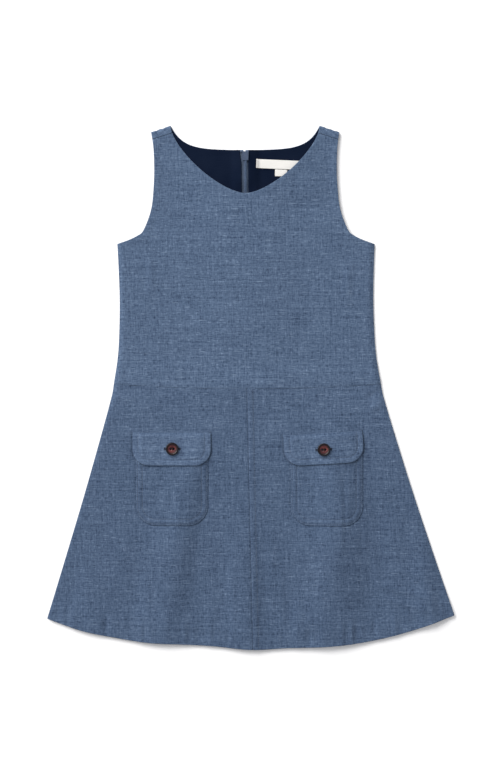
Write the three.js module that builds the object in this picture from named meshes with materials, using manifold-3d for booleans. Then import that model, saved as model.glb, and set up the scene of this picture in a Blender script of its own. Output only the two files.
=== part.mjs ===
// A sleeveless pinafore dress with a dropped waist, laid flat on its back.
// Lengths are millimetres. z is up from the surface, +y runs to the neck, +x is right as seen from above.
// The cut is drawn in u and v: u sideways from the centre line, v along it. laid() puts it on the surface.

import * as THREE from 'three';
import { mergeVertices } from 'three/addons/utils/BufferGeometryUtils.js';
import Module from 'manifold-3d';

const wasm = await Module();
wasm.setup();

// Thickness of each cloth, and the gap kept between pieces
const CLOTH = 1.2;
const LINING = 1.0;
const TAPE = 1.0;
const LABEL = 1.0;
const GAP = 0.3;

// How the dress lies: its centre line leans and bows, and the hem is turned a little
const LEAN_OFFSET = -3.25;
const LEAN_SLOPE = -0.0117;
const LEAN_BOW = 1;
const LEAN_REACH = 300;
const HEM_TILT = 0.009;

// Bodice. Its side seams run from the waist to the underarm corner.
const WAIST_V = 4.6;
const WAIST_BOW = 6;
const WAIST_HALF = 166.7;
const UNDERARM_V = 179.4;
const UNDERARM_HALF = 160.8;
const BODICE_SIDE = [
  { v: WAIST_V, half: WAIST_HALF },
  { v: 34.6, half: 161.9 },
  { v: 60, half: 159.7 },
  { v: 110, half: 158.4 },
  { v: 160, half: 159.8 },
  { v: UNDERARM_V, half: UNDERARM_HALF },
];

// Shoulder: the top fold of each strap, and the seam that lies in front of it
const NECK_POINT = { u: 93, v: 327.3 };
const SHOULDER_POINT = { u: 117.5, v: 319.4 };
const SEAM_DROP = 10;

// Armhole from the shoulder to the underarm
const ARMHOLE = [
  { u: 117.9, v: 326 },
  { u: 117.3, v: 318 },
  { u: 114.9, v: 300 },
  { u: 114.0, v: 278 },
  { u: 114.6, v: 254 },
  { u: 118.0, v: 223 },
  { u: 127.6, v: 197 },
  { u: 135.4, v: 189.8 },
  { u: 146.4, v: 184.4 },
  { u: 160.6, v: UNDERARM_V },
];

// Necklines from the centre out: the low point, and the handles of the curve up to the neck point
const FRONT_NECK = { low: 242.7, near: { u: 33, v: 244 }, far: { u: 92, v: 298.8 } };
const BACK_NECK = { low: 296.6, near: { u: 51, v: 298.6 }, far: { u: 78, v: 295.2 } };

// Skirt: half width of each section, from 0 at the waist to 1 at the hem
const SKIRT_SIDE = [
  { down: 0, half: WAIST_HALF },
  { down: 0.05, half: 169.4 },
  { down: 0.25, half: 186.0 },
  { down: 0.5, half: 207.8 },
  { down: 0.75, half: 230.8 },
  { down: 1, half: 254.2 },
];
const BACK_HEM_SHORT = 1;
const HEM = [
  { u: -254.5, v: -286.4 },
  { u: -211, v: -301.8 },
  { u: -171, v: -310.5 },
  { u: -131, v: -317.2 },
  { u: -91, v: -319.7 },
  { u: -51, v: -322.1 },
  { u: 0, v: -327.3 },
  { u: 48, v: -325.6 },
  { u: 88, v: -324.7 },
  { u: 128, v: -321.2 },
  { u: 168, v: -314 },
  { u: 208, v: -303.2 },
  { u: 254.5, v: -286.4 },
];

// Folds of the front skirt: where the crest starts, where it meets the hem, its two slopes and its height
const FOLDS = [
  { name: 'left', u: -78, v: -92, hemU: -111, left: 46, right: 30, height: 5.2 },
  { name: 'middle', u: -14, v: -120, hemU: -3, left: 34, right: 30, height: 2.4 },
  { name: 'right', u: 88, v: -84, hemU: 94, left: 48, right: 62, height: 5.0 },
  { name: 'corner', u: 205, v: -205, hemU: 228, left: 30, right: 17, height: 2.6 },
  { name: 'left_side', u: -196, v: -190, hemU: -205, left: 24, right: 40, height: 2.4 },
];

// Room under the front for the lining, the closed zip and the label
const RIM = 6;
const LINING_ROOM = LINING + GAP;
const ZIP_ROOM = 1.9;
const ZIP_ROOM_HALF = 16;
const ZIP_ROOM_END = { v: -34, fade: 40 };
const ROOM_FADE = 30;
const LINED_TO_DOWN = 0.22;
const LABEL_ROOM = { room: LABEL + GAP, lowU: 36, highU: 78, lowV: 252, highV: 298, fade: 14 };

// Zip, closed, in the centre back seam. Its slider stands just below the neck edge.
const ZIP_BOTTOM_V = 12;
const ZIP_TOP_V = 295.8;
const TAPE_HALF = 12.5;
const CHAIN = { half: 2.3, crown: 1.5, height: 1.4, shoulder: 0.8, aboveTape: 1 };
const SLIDER = { v: 289, length: 11, topHalf: 3.9, endHalf: 3.6, height: 2.6, flange: 1.1, plate: 1.1 };
const WEDGE = { half: 1.7, length: 2 };
const OVERLAP = 0.2;
const NECK_POST = { half: 1, reach: 3 };
const CROWN = { height: 2.5, hole: 1.6, pinZ: 1.25 };
const PULL = { length: 24, eye: 5.2, half: 3, thick: 1.1, arm: 1.2, pin: 0.5, waist: 0.6 };
const LINING_EDGE = 4.4;
const LINING_HALF = 150.5;
const LINING_LOW_V = 8;
const LINING_NECK_IN = 0.5;
const LINING_ARM_IN = 3;
const LINING_SHOULDER_IN = 4.5;

// The cloth over the pull tab is raised, so that the tab lies between it and the surface
const LIFT = { height: CROWN.height + GAP, flatHalf: 3.4, fade: 14.6, lowV: 244, fullV: 262 };

// Labels on the lining: the top left corner, and the turn in degrees
const NECK_LABEL = { x: 7.1, y: 285.4, width: 61, height: 11.3, turn: -2.5 };
const SIZE_TAB = { x: 30.4, y: 272.6, width: 15.2, height: 8.6, turn: -2.5 };

// Patch pockets and their flaps, each by the middle of its top edge, and the buttons
const POCKETS = [
  { side: 'left', x: -98.3, y: -68.8, width: 89.4, height: 103.1, corner: 24, turn: 0 },
  { side: 'right', x: 94.9, y: -68.8, width: 89.4, height: 103.4, corner: 24, turn: 0 },
];
const FLAPS = [
  { side: 'left', x: -98.7, y: -56, width: 97.3, height: 41.3, corner: 20, turn: 0 },
  { side: 'right', x: 90.0, y: -56.7, width: 98.6, height: 38.8, corner: 20, turn: 3.6 },
];
const FLAP_RAMP = { startDown: 0.17, endDown: 0.207 };
const BUTTONS = [
  { side: 'left', x: -98, y: -76.3 },
  { side: 'right', x: 90.9, y: -77.1 },
];
const BUTTON = { radius: 8, thick: 2.6, dish: 0.8, dishIn: 2.5, holeRadius: 1, holeApart: 3.2 };
const BUTTON_EDGE = [
  { inset: 1.6, up: 0 },
  { inset: 0.4, up: 0.7 },
  { inset: 0, up: 1.4 },
  { inset: 0.2, up: 2.1 },
  { inset: 0.7, up: 2.6 },
  { inset: 1.5, up: 2.45 },
];
const BUTTON_SEAT_SPARE = 6;

// Lattice lines shared by every layer, so that stacked facets stay parallel
const SKIRT_COLUMNS = 22;
const BACK_SKIRT_COLUMNS = 13;
const BACK_SKIRT_ROWS = [1, 0.75, 0.5, 0.25, 0.05, 0];
const SKIRT_ROWS = [
  0, 0.055, 0.115, FLAP_RAMP.startDown, FLAP_RAMP.endDown, 0.27, 0.34, 0.41, 0.48, 0.55,
  0.63, 0.71, 0.79, 0.87, 0.94, 1,
];
const FRONT_COLUMNS = 13;
const FRONT_ROWS = 19;
const TOP_V = 331;
const TOP_SPARE = 2;
const WAIST_FADE_V = 60;
const SHARE_SPARE = 1.2;
const BACK_COLUMNS = [GAP / 2, 3.4, 8.1, 13.1, 18.1, 60, 110, UNDERARM_HALF];
const BACK_ROWS = [WAIST_V, 60, 110, 160, UNDERARM_V, 236, 244, 250, 256, 262, TOP_V];

const clamp = (value) => Math.min(1, Math.max(0, value));
const smooth = (value) => clamp(value) ** 2 * (3 - 2 * clamp(value));

// A smooth curve through the rows of a table
function along(rows, key, field, at) {
  let i = 0;
  while (i < rows.length - 2 && at > rows[i + 1][key]) {
    i += 1;
  }
  const slope = (a, b) => (rows[b][field] - rows[a][field]) / (rows[b][key] - rows[a][key]);
  const span = rows[i + 1][key] - rows[i][key];
  const t = clamp((at - rows[i][key]) / span);
  const start = slope(Math.max(i - 1, 0), i + 1) * span;
  const end = slope(i, Math.min(i + 2, rows.length - 1)) * span;
  const rise = rows[i + 1][field] - rows[i][field];
  const bend = (3 * rise - 2 * start - end) * t ** 2 + (start + end - 2 * rise) * t ** 3;
  return rows[i][field] + start * t + bend;
}

// The place on the surface of a point of the cut
function laid(u, v) {
  const turn = HEM_TILT * clamp(-v / LEAN_REACH);
  const bow = LEAN_BOW * (1 - Math.min(1, (v / LEAN_REACH) ** 2));
  return [u + LEAN_OFFSET + LEAN_SLOPE * v - bow, v + turn * u];
}

const waistV = (u) => WAIST_V - WAIST_BOW * (1 - (u / WAIST_HALF) ** 2);
const hemV = (u) => along(HEM, 'u', 'v', u);
const skirtHalf = (down) => along(SKIRT_SIDE, 'down', 'half', down);
const bodiceHalf = (v) => (v < UNDERARM_V ? along(BODICE_SIDE, 'v', 'half', v) : UNDERARM_HALF);

// A point of the skirt: share of the half width, and share of the way down to the hem
function skirtPoint(share, down, shorter = 0) {
  const top = waistV(share * WAIST_HALF) - GAP / 2;
  const bottom = hemV(share * skirtHalf(1)) + shorter;
  return { u: share * skirtHalf(down), v: top + down * (bottom - top), share, down };
}

// A point of the bodice: share of the half width, and the row's v at the side
function bodicePoint(share, rowV) {
  const bow = 1 - clamp((rowV - WAIST_V) / WAIST_FADE_V);
  const u = share * bodiceHalf(rowV);
  return { u, v: rowV + GAP / 2 + bow * (waistV(u) - WAIST_V), share, down: 0 };
}

// Height of the cloth over the pull tab
function lift({ u, v }) {
  const across = 1 - smooth((Math.abs(u) - LIFT.flatHalf) / LIFT.fade);
  return LIFT.height * across * smooth((v - LIFT.lowV) / (LIFT.fullV - LIFT.lowV));
}

// Height of one fold. Its crest runs straight from its start to the hem, and is full before the hem.
const FOLD_FULL = 0.8;
function foldHeight(fold, u, v) {
  const length = hemV(fold.hemU) - fold.v;
  const run = clamp((v - fold.v) / length);
  const off = u - (fold.u + run * (fold.hemU - fold.u));
  const width = off < 0 ? fold.left : fold.right;
  const section = 1 - smooth(Math.abs(off) / width);
  return fold.height * section * smooth(run / FOLD_FULL);
}

function labelRoom(u, v) {
  const { room, lowU, highU, lowV, highV, fade } = LABEL_ROOM;
  const outU = Math.max(lowU - u, u - highU, 0) / fade;
  const outV = Math.max(lowV - v, v - highV, 0) / fade;
  return room * (1 - smooth(outU)) * (1 - smooth(outV));
}

// Underside of the whole front, from the shoulders to the hem
function frontUnder({ u, v, share, down }) {
  const half = down > 0 ? skirtHalf(down) : bodiceHalf(v);
  const rim = smooth(((1 - Math.abs(share)) * half) / RIM);
  const lined = LINING_ROOM * rim * (1 - smooth(down / LINED_TO_DOWN));
  const zipAcross = 1 - smooth((Math.abs(u) - ZIP_ROOM_HALF) / ROOM_FADE);
  const zipped = ZIP_ROOM * zipAcross * smooth((v - ZIP_ROOM_END.v) / ZIP_ROOM_END.fade);
  const folds = FOLDS.reduce((sum, fold) => sum + foldHeight(fold, u, v), 0);
  return CLOTH + GAP + lined + zipped + labelRoom(u, v) + rim * folds;
}
const frontOver = (point) => frontUnder(point) + CLOTH;

// A closed wall over a lattice of laid points, between two heights
function wall(columns, rows, pointAt, under, over) {
  const positions = [];
  const index = [];
  for (const height of [under, over]) {
    for (const row of rows) {
      for (const column of columns) {
        const point = pointAt(column, row);
        positions.push(...laid(point.u, point.v), height(point));
      }
    }
  }
  const at = (c, r, level) => (level * rows.length + r) * columns.length + c;
  const quad = (a, b, c, d) => index.push(a, b, c, a, c, d);
  const lastC = columns.length - 1;
  const lastR = rows.length - 1;
  for (let r = 0; r < lastR; r += 1) {
    for (let c = 0; c < lastC; c += 1) {
      quad(at(c, r, 1), at(c + 1, r, 1), at(c + 1, r + 1, 1), at(c, r + 1, 1));
      quad(at(c, r, 0), at(c, r + 1, 0), at(c + 1, r + 1, 0), at(c + 1, r, 0));
    }
    quad(at(0, r + 1, 0), at(0, r, 0), at(0, r, 1), at(0, r + 1, 1));
    quad(at(lastC, r, 0), at(lastC, r + 1, 0), at(lastC, r + 1, 1), at(lastC, r, 1));
  }
  for (let c = 0; c < lastC; c += 1) {
    quad(at(c, 0, 0), at(c + 1, 0, 0), at(c + 1, 0, 1), at(c, 0, 1));
    quad(at(c + 1, lastR, 0), at(c, lastR, 0), at(c, lastR, 1), at(c + 1, lastR, 1));
  }
  const geometry = new THREE.BufferGeometry();
  geometry.setAttribute('position', new THREE.Float32BufferAttribute(positions, 3));
  geometry.setIndex(index);
  return geometry;
}

function solid(geometry) {
  const bare = geometry.clone();
  bare.deleteAttribute('normal');
  bare.deleteAttribute('uv');
  const merged = mergeVertices(bare);
  const vertProperties = new Float32Array(merged.attributes.position.array);
  const triVerts = new Uint32Array(merged.index.array);
  return new wasm.Manifold(new wasm.Mesh({ numProp: 3, vertProperties, triVerts }));
}

function meshOf(name, shape, material) {
  let geometry = shape;
  if (!shape.isBufferGeometry) {
    const mesh = shape.getMesh();
    geometry = new THREE.BufferGeometry();
    geometry.setAttribute('position', new THREE.BufferAttribute(mesh.vertProperties, 3));
    geometry.setIndex(new THREE.BufferAttribute(mesh.triVerts, 1));
  }
  const flat = geometry.index ? geometry.toNonIndexed() : geometry;
  flat.computeVertexNormals();
  const mesh = new THREE.Mesh(flat, material);
  mesh.name = name;
  return mesh;
}

// An upright block over an outline, high enough to pass through every layer
const BLOCK_LOW = -10;
const BLOCK_HIGH = 40;
function block(points, low = BLOCK_LOW, high = BLOCK_HIGH) {
  const outline = new THREE.Shape(points.map(([x, y]) => new THREE.Vector2(x, y)));
  const geometry = new THREE.ExtrudeGeometry(outline, { depth: high - low, bevelEnabled: false });
  return solid(geometry.translate(0, 0, low));
}
const cutBlock = (points) => block(points.map(([u, v]) => laid(u, v)));

// Outlines of the upper body in u and v, right half first, then mirrored
const ARMHOLE_STEPS = 26;
const NECK_STEPS = 18;
function armholeLine(inset) {
  const curve = new THREE.SplineCurve(ARMHOLE.map(({ u, v }) => new THREE.Vector2(u - inset, v - inset)));
  return curve.getPoints(ARMHOLE_STEPS).map((point) => [point.x, point.y]);
}

function neckLine({ low, near, far }, inset) {
  const end = new THREE.Vector2(NECK_POINT.u + inset, NECK_POINT.v);
  const curve = new THREE.CubicBezierCurve(
    new THREE.Vector2(0, low - inset),
    new THREE.Vector2(near.u, near.v - inset),
    new THREE.Vector2(far.u + inset, far.v - inset),
    end,
  );
  const line = curve.getPoints(NECK_STEPS).map((point) => [point.x, point.y]);
  return [...line, [NECK_POINT.u + inset, TOP_V + TOP_SPARE]];
}

// Reach of the cutting blocks beyond the dress, and where the top line levels off between the straps
const FAR = 190;
const NEAR_SHARE = 0.6;
const BELOW_WAIST = 30;
function upperBody(neck, neckInset = 0, armInset = 0) {
  const armhole = armholeLine(armInset);
  const outside = [
    [FAR, -BELOW_WAIST],
    [FAR, UNDERARM_V - armInset - 1],
    ...armhole.reverse(),
    [ARMHOLE[0].u - armInset, TOP_V + TOP_SPARE],
  ];
  const right = [...outside, ...neckLine(neck, neckInset).reverse()];
  const left = right.map(([u, v]) => [-u, v]).reverse().slice(1);
  return cutBlock([...right, ...left]);
}

// Everything below a line that runs parallel to the shoulder folds
const shoulderSlope = (SHOULDER_POINT.v - NECK_POINT.v) / (SHOULDER_POINT.u - NECK_POINT.u);
const shoulderV = (u, drop) => NECK_POINT.v + shoulderSlope * (Math.abs(u) - NECK_POINT.u) - drop;
function belowShoulder(drop) {
  const near = NECK_POINT.u * NEAR_SHARE;
  const top = [FAR, near, -near, -FAR].map((u) => [u, shoulderV(u, drop)]);
  return cutBlock([[-FAR, -BELOW_WAIST], [FAR, -BELOW_WAIST], ...top]);
}

const evenShares = (count) => Array.from({ length: count }, (_, i) => i / (count - 1));
const FRONT_ROW_LINES = evenShares(FRONT_ROWS).map((share) => WAIST_V + share * (TOP_V - WAIST_V));

// Columns of the front: even ones, and two close to each side seam
function frontShares() {
  const rim = RIM / UNDERARM_HALF;
  const even = evenShares(FRONT_COLUMNS).map((share) => share * (1 - SHARE_SPARE * rim));
  const half = [...even, 1 - rim / 2, 1];
  return [...half.map((share) => -share).reverse(), ...half.slice(1)];
}

const frontLayer = () => solid(wall(frontShares(), FRONT_ROW_LINES, bodicePoint, frontUnder, frontOver));

// Bodice front, cut on the fold, up to the shoulder seams
function bodiceFront() {
  return frontLayer().intersect(upperBody(FRONT_NECK)).intersect(belowShoulder(SEAM_DROP + GAP));
}

// Lattice of the back's layers. The side is -1 for left and 1 for right.
function backShares(side) {
  const shares = BACK_COLUMNS.map((u) => (side * u) / UNDERARM_HALF);
  return side < 0 ? shares.reverse() : shares;
}

function backLayer(side, base, thick) {
  const under = (point) => base(point) + lift(point);
  return solid(wall(backShares(side), BACK_ROWS, bodicePoint, under, (point) => under(point) + thick));
}

// The fold over the shoulder: a round wall from the back's layer up to the front's.
// It runs into both layers by an arm, and past both ends of the shoulder by a spare length.
const STRAP_HEIGHT = CLOTH * 2 + GAP + LINING_ROOM;
const FOLD_ARM = 1;
const FOLD_SPARE = 8;
function shoulderFold(side) {
  const height = STRAP_HEIGHT;
  const outer = height / 2;
  const inner = outer - CLOTH;
  const arm = FOLD_ARM;
  const section = new THREE.Shape();
  section.moveTo(-outer - arm, 0);
  section.lineTo(-outer, 0);
  section.absarc(-outer, outer, outer, -Math.PI / 2, Math.PI / 2, false);
  section.lineTo(-outer - arm, height);
  section.lineTo(-outer - arm, height - CLOTH);
  section.lineTo(-outer, height - CLOTH);
  section.absarc(-outer, outer, inner, Math.PI / 2, -Math.PI / 2, true);
  section.lineTo(-outer - arm, CLOTH);
  const nearU = NECK_POINT.u - FOLD_SPARE;
  const farU = SHOULDER_POINT.u + FOLD_SPARE;
  const [x0, y0] = laid(side * nearU, shoulderV(nearU, 0));
  const [x1, y1] = laid(side * farU, shoulderV(farU, 0));
  const depth = Math.hypot(x1 - x0, y1 - y0);
  const geometry = new THREE.ExtrudeGeometry(section, { depth, bevelEnabled: false, curveSegments: 6 });
  // The section's own x points out over the shoulder, its y up, and its depth along the fold
  const from = side < 0 ? [x1, y1] : [x0, y0];
  const to = side < 0 ? [x0, y0] : [x1, y1];
  const run = new THREE.Vector3(to[0] - from[0], to[1] - from[1], 0).normalize();
  const up = new THREE.Vector3(0, 0, 1);
  const out = new THREE.Vector3().crossVectors(up, run);
  const frame = new THREE.Matrix4().makeBasis(out, up, run).setPosition(from[0], from[1], 0);
  return solid(geometry.applyMatrix4(frame));
}

// An outline of the right half, as it is or mirrored to the left
function onSide(points, side) {
  return side < 0 ? points.map(([u, v]) => [-u, v]).reverse() : points;
}
const RIGHT_HALF = [[0, 0], [FAR, 0], [FAR, TOP_V + FAR], [0, TOP_V + FAR]];

// Bodice back: half of the back, whose straps turn over the shoulder and end at the seam in front
function bodiceBack(side) {
  const turn = STRAP_HEIGHT / 2;
  const layer = backLayer(side, () => 0, CLOTH);
  const flat = layer.intersect(upperBody(BACK_NECK)).intersect(belowShoulder(turn));
  const strap = upperBody(FRONT_NECK);
  const own = cutBlock(onSide(RIGHT_HALF, side));
  const over = frontLayer().intersect(own).intersect(strap);
  const front = over.intersect(belowShoulder(turn)).subtract(belowShoulder(SEAM_DROP));
  const fold = shoulderFold(side).intersect(strap);
  return flat.add(fold).add(front).subtract(sliderRoom());
}

// Back lining: from the zip out, over the zip tape, to just inside the armhole and the side seam
const TAPE_STEP = BACK_COLUMNS[4] - BACK_COLUMNS[3];
const overTape = ({ u }) => (TAPE + GAP) * (1 - smooth((Math.abs(u) - BACK_COLUMNS[3]) / TAPE_STEP));
const liningBase = (point) => CLOTH + GAP + overTape(point);
function liningBack(side) {
  const low = LINING_LOW_V;
  const area = [[LINING_EDGE, low], [LINING_HALF, low], [LINING_HALF, TOP_V], [LINING_EDGE, TOP_V]];
  const own = onSide(area, side);
  const body = upperBody(BACK_NECK, LINING_NECK_IN, LINING_ARM_IN);
  const layer = backLayer(side, liningBase, LINING).intersect(body);
  return layer.intersect(belowShoulder(LINING_SHOULDER_IN)).intersect(cutBlock(own));
}

// Zip tape: half of the tape, between the back and its lining
function zipTape(side) {
  const area = [[0, ZIP_BOTTOM_V], [TAPE_HALF, ZIP_BOTTOM_V], [TAPE_HALF, ZIP_TOP_V], [0, ZIP_TOP_V]];
  const layer = backLayer(side, () => CLOTH + GAP, TAPE);
  return layer.intersect(cutBlock(onSide(area, side))).subtract(sliderRoom());
}

const CHAIN_BASE = CLOTH + GAP + TAPE + GAP;
const SLIDER_BASE = CHAIN_BASE + LIFT.height;

// The closed coil, a low ridge on the two tapes
function zipChain() {
  const columns = [-CHAIN.half, -CHAIN.crown, CHAIN.crown, CHAIN.half];
  const top = SLIDER.v - SLIDER.length / 2 - 2 * GAP;
  const low = ZIP_BOTTOM_V + CHAIN.aboveTape;
  const rows = [low, ...BACK_ROWS.filter((v) => v > low && v < top), top];
  const pointAt = (u, v) => ({ u, v: v + GAP / 2 });
  const under = (point) => CHAIN_BASE + lift(point);
  const height = ({ u }) => (Math.abs(u) > CHAIN.crown ? CHAIN.shoulder : CHAIN.height);
  return wall(columns, rows, pointAt, under, (point) => under(point) + height(point));
}

// The slider's own frame: the origin is where the pull tab's pin crosses the centre seam
const [SLIDER_X, SLIDER_Y] = laid(0, SLIDER.v);
const inSliderFrame = (shape) => shape.translate([SLIDER_X, SLIDER_Y, 0]);
const box = (x, y, low, high) => block([[-x, -y], [x, -y], [x, y], [-x, y]], low, high);

// The space that the slider's post needs through the tapes and the back
function sliderRoom() {
  return inSliderFrame(box(NECK_POST.half + GAP, NECK_POST.reach + GAP, BLOCK_LOW, SLIDER_BASE));
}

// Slider: a plate over the coil with two flanges and a wedge. A post runs from it through the seam,
// and a hole across the post's other end holds the pin of the pull tab.
function zipSlider() {
  const { topHalf, endHalf, height, flange, plate } = SLIDER;
  const end = SLIDER.length / 2;
  const top = SLIDER_BASE + height;
  const outline = (inset) => [
    [-endHalf + inset, -end], [endHalf - inset, -end], [topHalf - inset, end], [-topHalf + inset, end],
  ];
  const body = block(outline(0), SLIDER_BASE, top);
  const channel = block(outline(flange), SLIDER_BASE - 1, top - plate);
  const wide = end - WEDGE.length;
  const divider = [[0, -1], [WEDGE.half, wide], [WEDGE.half, end], [-WEDGE.half, end], [-WEDGE.half, wide]];
  const split = block(divider, SLIDER_BASE, top - plate + OVERLAP);
  const post = box(NECK_POST.half, NECK_POST.reach, 0, top - plate + OVERLAP);
  const through = new THREE.BoxGeometry(NECK_POST.half * 4, CROWN.hole, CROWN.hole);
  const hole = solid(through.translate(0, 0, CROWN.pinZ));
  return inSliderFrame(body.subtract(channel).add(split).add(post).subtract(hole));
}

// Pull tab: a pin through the crown, two arms round it and a drop-shaped plate
function zipPull() {
  const { length, eye, half, thick, arm, pin, waist } = PULL;
  const low = CROWN.pinZ - thick / 2;
  const high = CROWN.pinZ + thick / 2;
  const inner = NECK_POST.half + GAP;
  const plate = new THREE.Shape();
  plate.moveTo(-inner - arm, pin);
  plate.lineTo(-inner - arm, -eye);
  plate.quadraticCurveTo(-half, -length * waist, -half, -length + half);
  plate.absarc(0, -length + half, half, Math.PI, Math.PI * 2, false);
  plate.quadraticCurveTo(half, -length * waist, inner + arm, -eye);
  plate.lineTo(inner + arm, pin);
  const body = new THREE.ExtrudeGeometry(plate, { depth: thick, bevelEnabled: false, curveSegments: 6 });
  const opening = [[-inner, -eye], [inner, -eye], [inner, pin * 3], [-inner, pin * 3]];
  const window = block(opening, low - 1, high + 1);
  const bar = new THREE.CylinderGeometry(pin, pin, (inner + arm / 2) * 2, 10).rotateZ(Math.PI / 2);
  const plateShape = solid(body.translate(0, 0, low)).subtract(window);
  return inSliderFrame(plateShape.add(solid(bar.translate(0, 0, CROWN.pinZ))));
}

// A patch with two round lower corners, by the middle of its top edge
function patch({ x, y, width, height, corner, turn }) {
  const half = width / 2;
  const shape = new THREE.Shape();
  shape.moveTo(half, 0);
  shape.lineTo(-half, 0);
  shape.lineTo(-half, -height + corner);
  shape.absarc(-half + corner, -height + corner, corner, Math.PI, Math.PI * 1.5, false);
  shape.absarc(half - corner, -height + corner, corner, Math.PI * 1.5, Math.PI * 2, false);
  const options = { depth: BLOCK_HIGH, bevelEnabled: false, curveSegments: 5 };
  const geometry = new THREE.ExtrudeGeometry(shape, options);
  return solid(geometry.rotateZ(THREE.MathUtils.degToRad(turn)).translate(x, y, 0));
}

// Shares of one half of the skirt, from the side seam to the centre front seam
function skirtShares(side) {
  const rim = RIM / WAIST_HALF;
  const even = evenShares(SKIRT_COLUMNS).map((share) => share * (1 - rim));
  const shares = [...even, 1 - rim / 2, 1].map((share) => side * share);
  return side < 0 ? shares.reverse() : shares;
}

// A point of one half of the front skirt, kept clear of the centre front seam
function halfSkirtPoint(side) {
  return (share, down) => {
    const point = skirtPoint(share, down);
    return { ...point, u: side * Math.max(side * point.u, GAP / 2) };
  };
}

const skirtRowsUp = [...SKIRT_ROWS].reverse();
function skirtLayer(side, under, over) {
  return wall(skirtShares(side), skirtRowsUp, halfSkirtPoint(side), under, over);
}
const skirtFront = (side) => skirtLayer(side, frontUnder, frontOver);

// Skirt back, one piece, a little shorter than the front
function skirtBack() {
  const shares = evenShares(BACK_SKIRT_COLUMNS).map((share) => share * 2 - 1);
  const point = (share, down) => skirtPoint(share, down, BACK_HEM_SHORT);
  return wall(shares, BACK_SKIRT_ROWS, point, () => 0, () => CLOTH);
}

const sideSign = (side) => (side === 'left' ? -1 : 1);

// Pocket: the skirt's own points moved out, inside the patch
function pocket(row) {
  const under = (point) => frontOver(point) + GAP;
  const layer = skirtLayer(sideSign(row.side), under, (point) => under(point) + CLOTH);
  return solid(layer).intersect(patch(row));
}

// Flap: sewn to the skirt at its top edge, and lying on the pocket below that
const flapUnder = (point) => {
  const ramp = (point.down - FLAP_RAMP.startDown) / (FLAP_RAMP.endDown - FLAP_RAMP.startDown);
  return frontOver(point) + GAP + (CLOTH + GAP) * clamp(ramp);
};
const flapOver = (point) => flapUnder(point) + CLOTH;
function flap(row) {
  return solid(skirtLayer(sideSign(row.side), flapUnder, flapOver)).intersect(patch(row));
}

// Label: the lining's own points moved out, inside a turned rectangle
function label({ x, y, width, height, turn }) {
  const area = new THREE.BoxGeometry(width, height, BLOCK_HIGH).translate(width / 2, -height / 2, 0);
  area.rotateZ(THREE.MathUtils.degToRad(turn)).translate(x, y, 0);
  return backLayer(1, (point) => liningBase(point) + LINING + GAP, LABEL).intersect(solid(area));
}

// Button: two holes, a raised rim and a dished middle, on the highest point of the flap under it
function button({ x, y }, seat) {
  const { radius, thick, dish, dishIn, holeRadius, holeApart } = BUTTON;
  const edge = BUTTON_EDGE.map(({ inset, up }) => new THREE.Vector2(radius - inset, up));
  const middle = [new THREE.Vector2(radius - dishIn, thick - dish), new THREE.Vector2(0, thick - dish)];
  const profile = [new THREE.Vector2(0, 0), ...edge, ...middle];
  const turned = new THREE.LatheGeometry(profile, 24).rotateX(Math.PI / 2);
  const hole = new THREE.CylinderGeometry(holeRadius, holeRadius, thick * 3, 10).rotateX(Math.PI / 2);
  const holes = [-1, 1].map((way) => solid(hole.clone().translate((way * holeApart) / 2, 0, 0)));
  const body = solid(turned).subtract(holes[0]).subtract(holes[1]);
  return body.translate([x, y, seat]);
}

// Highest point of a mesh in a round patch of the surface
function highest(mesh, { x, y }, reach) {
  const position = mesh.geometry.attributes.position;
  let top = -Infinity;
  for (let i = 0; i < position.count; i += 1) {
    if (Math.hypot(position.getX(i) - x, position.getY(i) - y) < reach) {
      top = Math.max(top, position.getZ(i));
    }
  }
  return top;
}

function finish(color, roughness, metalness = 0) {
  return new THREE.MeshStandardMaterial({ color, roughness, metalness });
}
const CHAMBRAY = finish('#5a6b85', 0.92);
const SKIRT_CLOTH = finish('#546480', 0.92);
const NAVY = finish('#162032', 0.85);
const ZIP_CLOTH = finish('#48566b', 0.8);
const COIL = finish('#3f4c60', 0.45);
const SLIDER_PAINT = finish('#5b6a80', 0.35, 0.6);
const CREAM = finish('#f2efeb', 0.8);
const BUTTON_BROWN = finish('#6e3c3c', 0.3);

// The dress
const dress = new THREE.Group();
const add = (name, shape, material) => {
  const mesh = meshOf(name, shape, material);
  dress.add(mesh);
  return mesh;
};

add('bodice_front', bodiceFront(), CHAMBRAY);
add('skirt_back', skirtBack(), SKIRT_CLOTH);
for (const [name, side] of [['left', -1], ['right', 1]]) {
  add(`bodice_back_${name}`, bodiceBack(side), CHAMBRAY);
  add(`lining_back_${name}`, liningBack(side), NAVY);
  add(`zip_tape_${name}`, zipTape(side), ZIP_CLOTH);
  add(`skirt_front_${name}`, skirtFront(side), SKIRT_CLOTH);
}
add('zip_chain', zipChain(), COIL);
add('zip_slider', zipSlider(), SLIDER_PAINT);
add('zip_pull', zipPull(), SLIDER_PAINT);
add('neck_label', label(NECK_LABEL), CREAM);
add('size_tab', label(SIZE_TAB), CREAM);
for (const row of POCKETS) {
  add(`pocket_${row.side}`, pocket(row), CHAMBRAY);
}
FLAPS.forEach((row, i) => {
  const cover = add(`flap_${row.side}`, flap(row), CHAMBRAY);
  const place = BUTTONS[i];
  const seat = highest(cover, place, BUTTON.radius + BUTTON_SEAT_SPARE) + GAP;
  add(`button_${row.side}`, button(place, seat), BUTTON_BROWN);
});

export default dress;
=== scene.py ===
"""Looks of a sleeveless pinafore dress with a dropped waist, laid flat on its back.

Each cut piece is a fine thin shell on the form of its solid. The form is worked out in millimetres
from the sizes of the part's source: u runs sideways from the centre line, v along it, and laid()
puts them on the surface. The two folds on the left are lower here, and the rooms under the front
for the zip and the label fade out more softly. Stitching, coil and buttons are meshes of their own.
"""

import math

import bmesh
import bpy
import numpy as np
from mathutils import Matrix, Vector, noise
from mathutils.geometry import delaunay_2d_cdt


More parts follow.
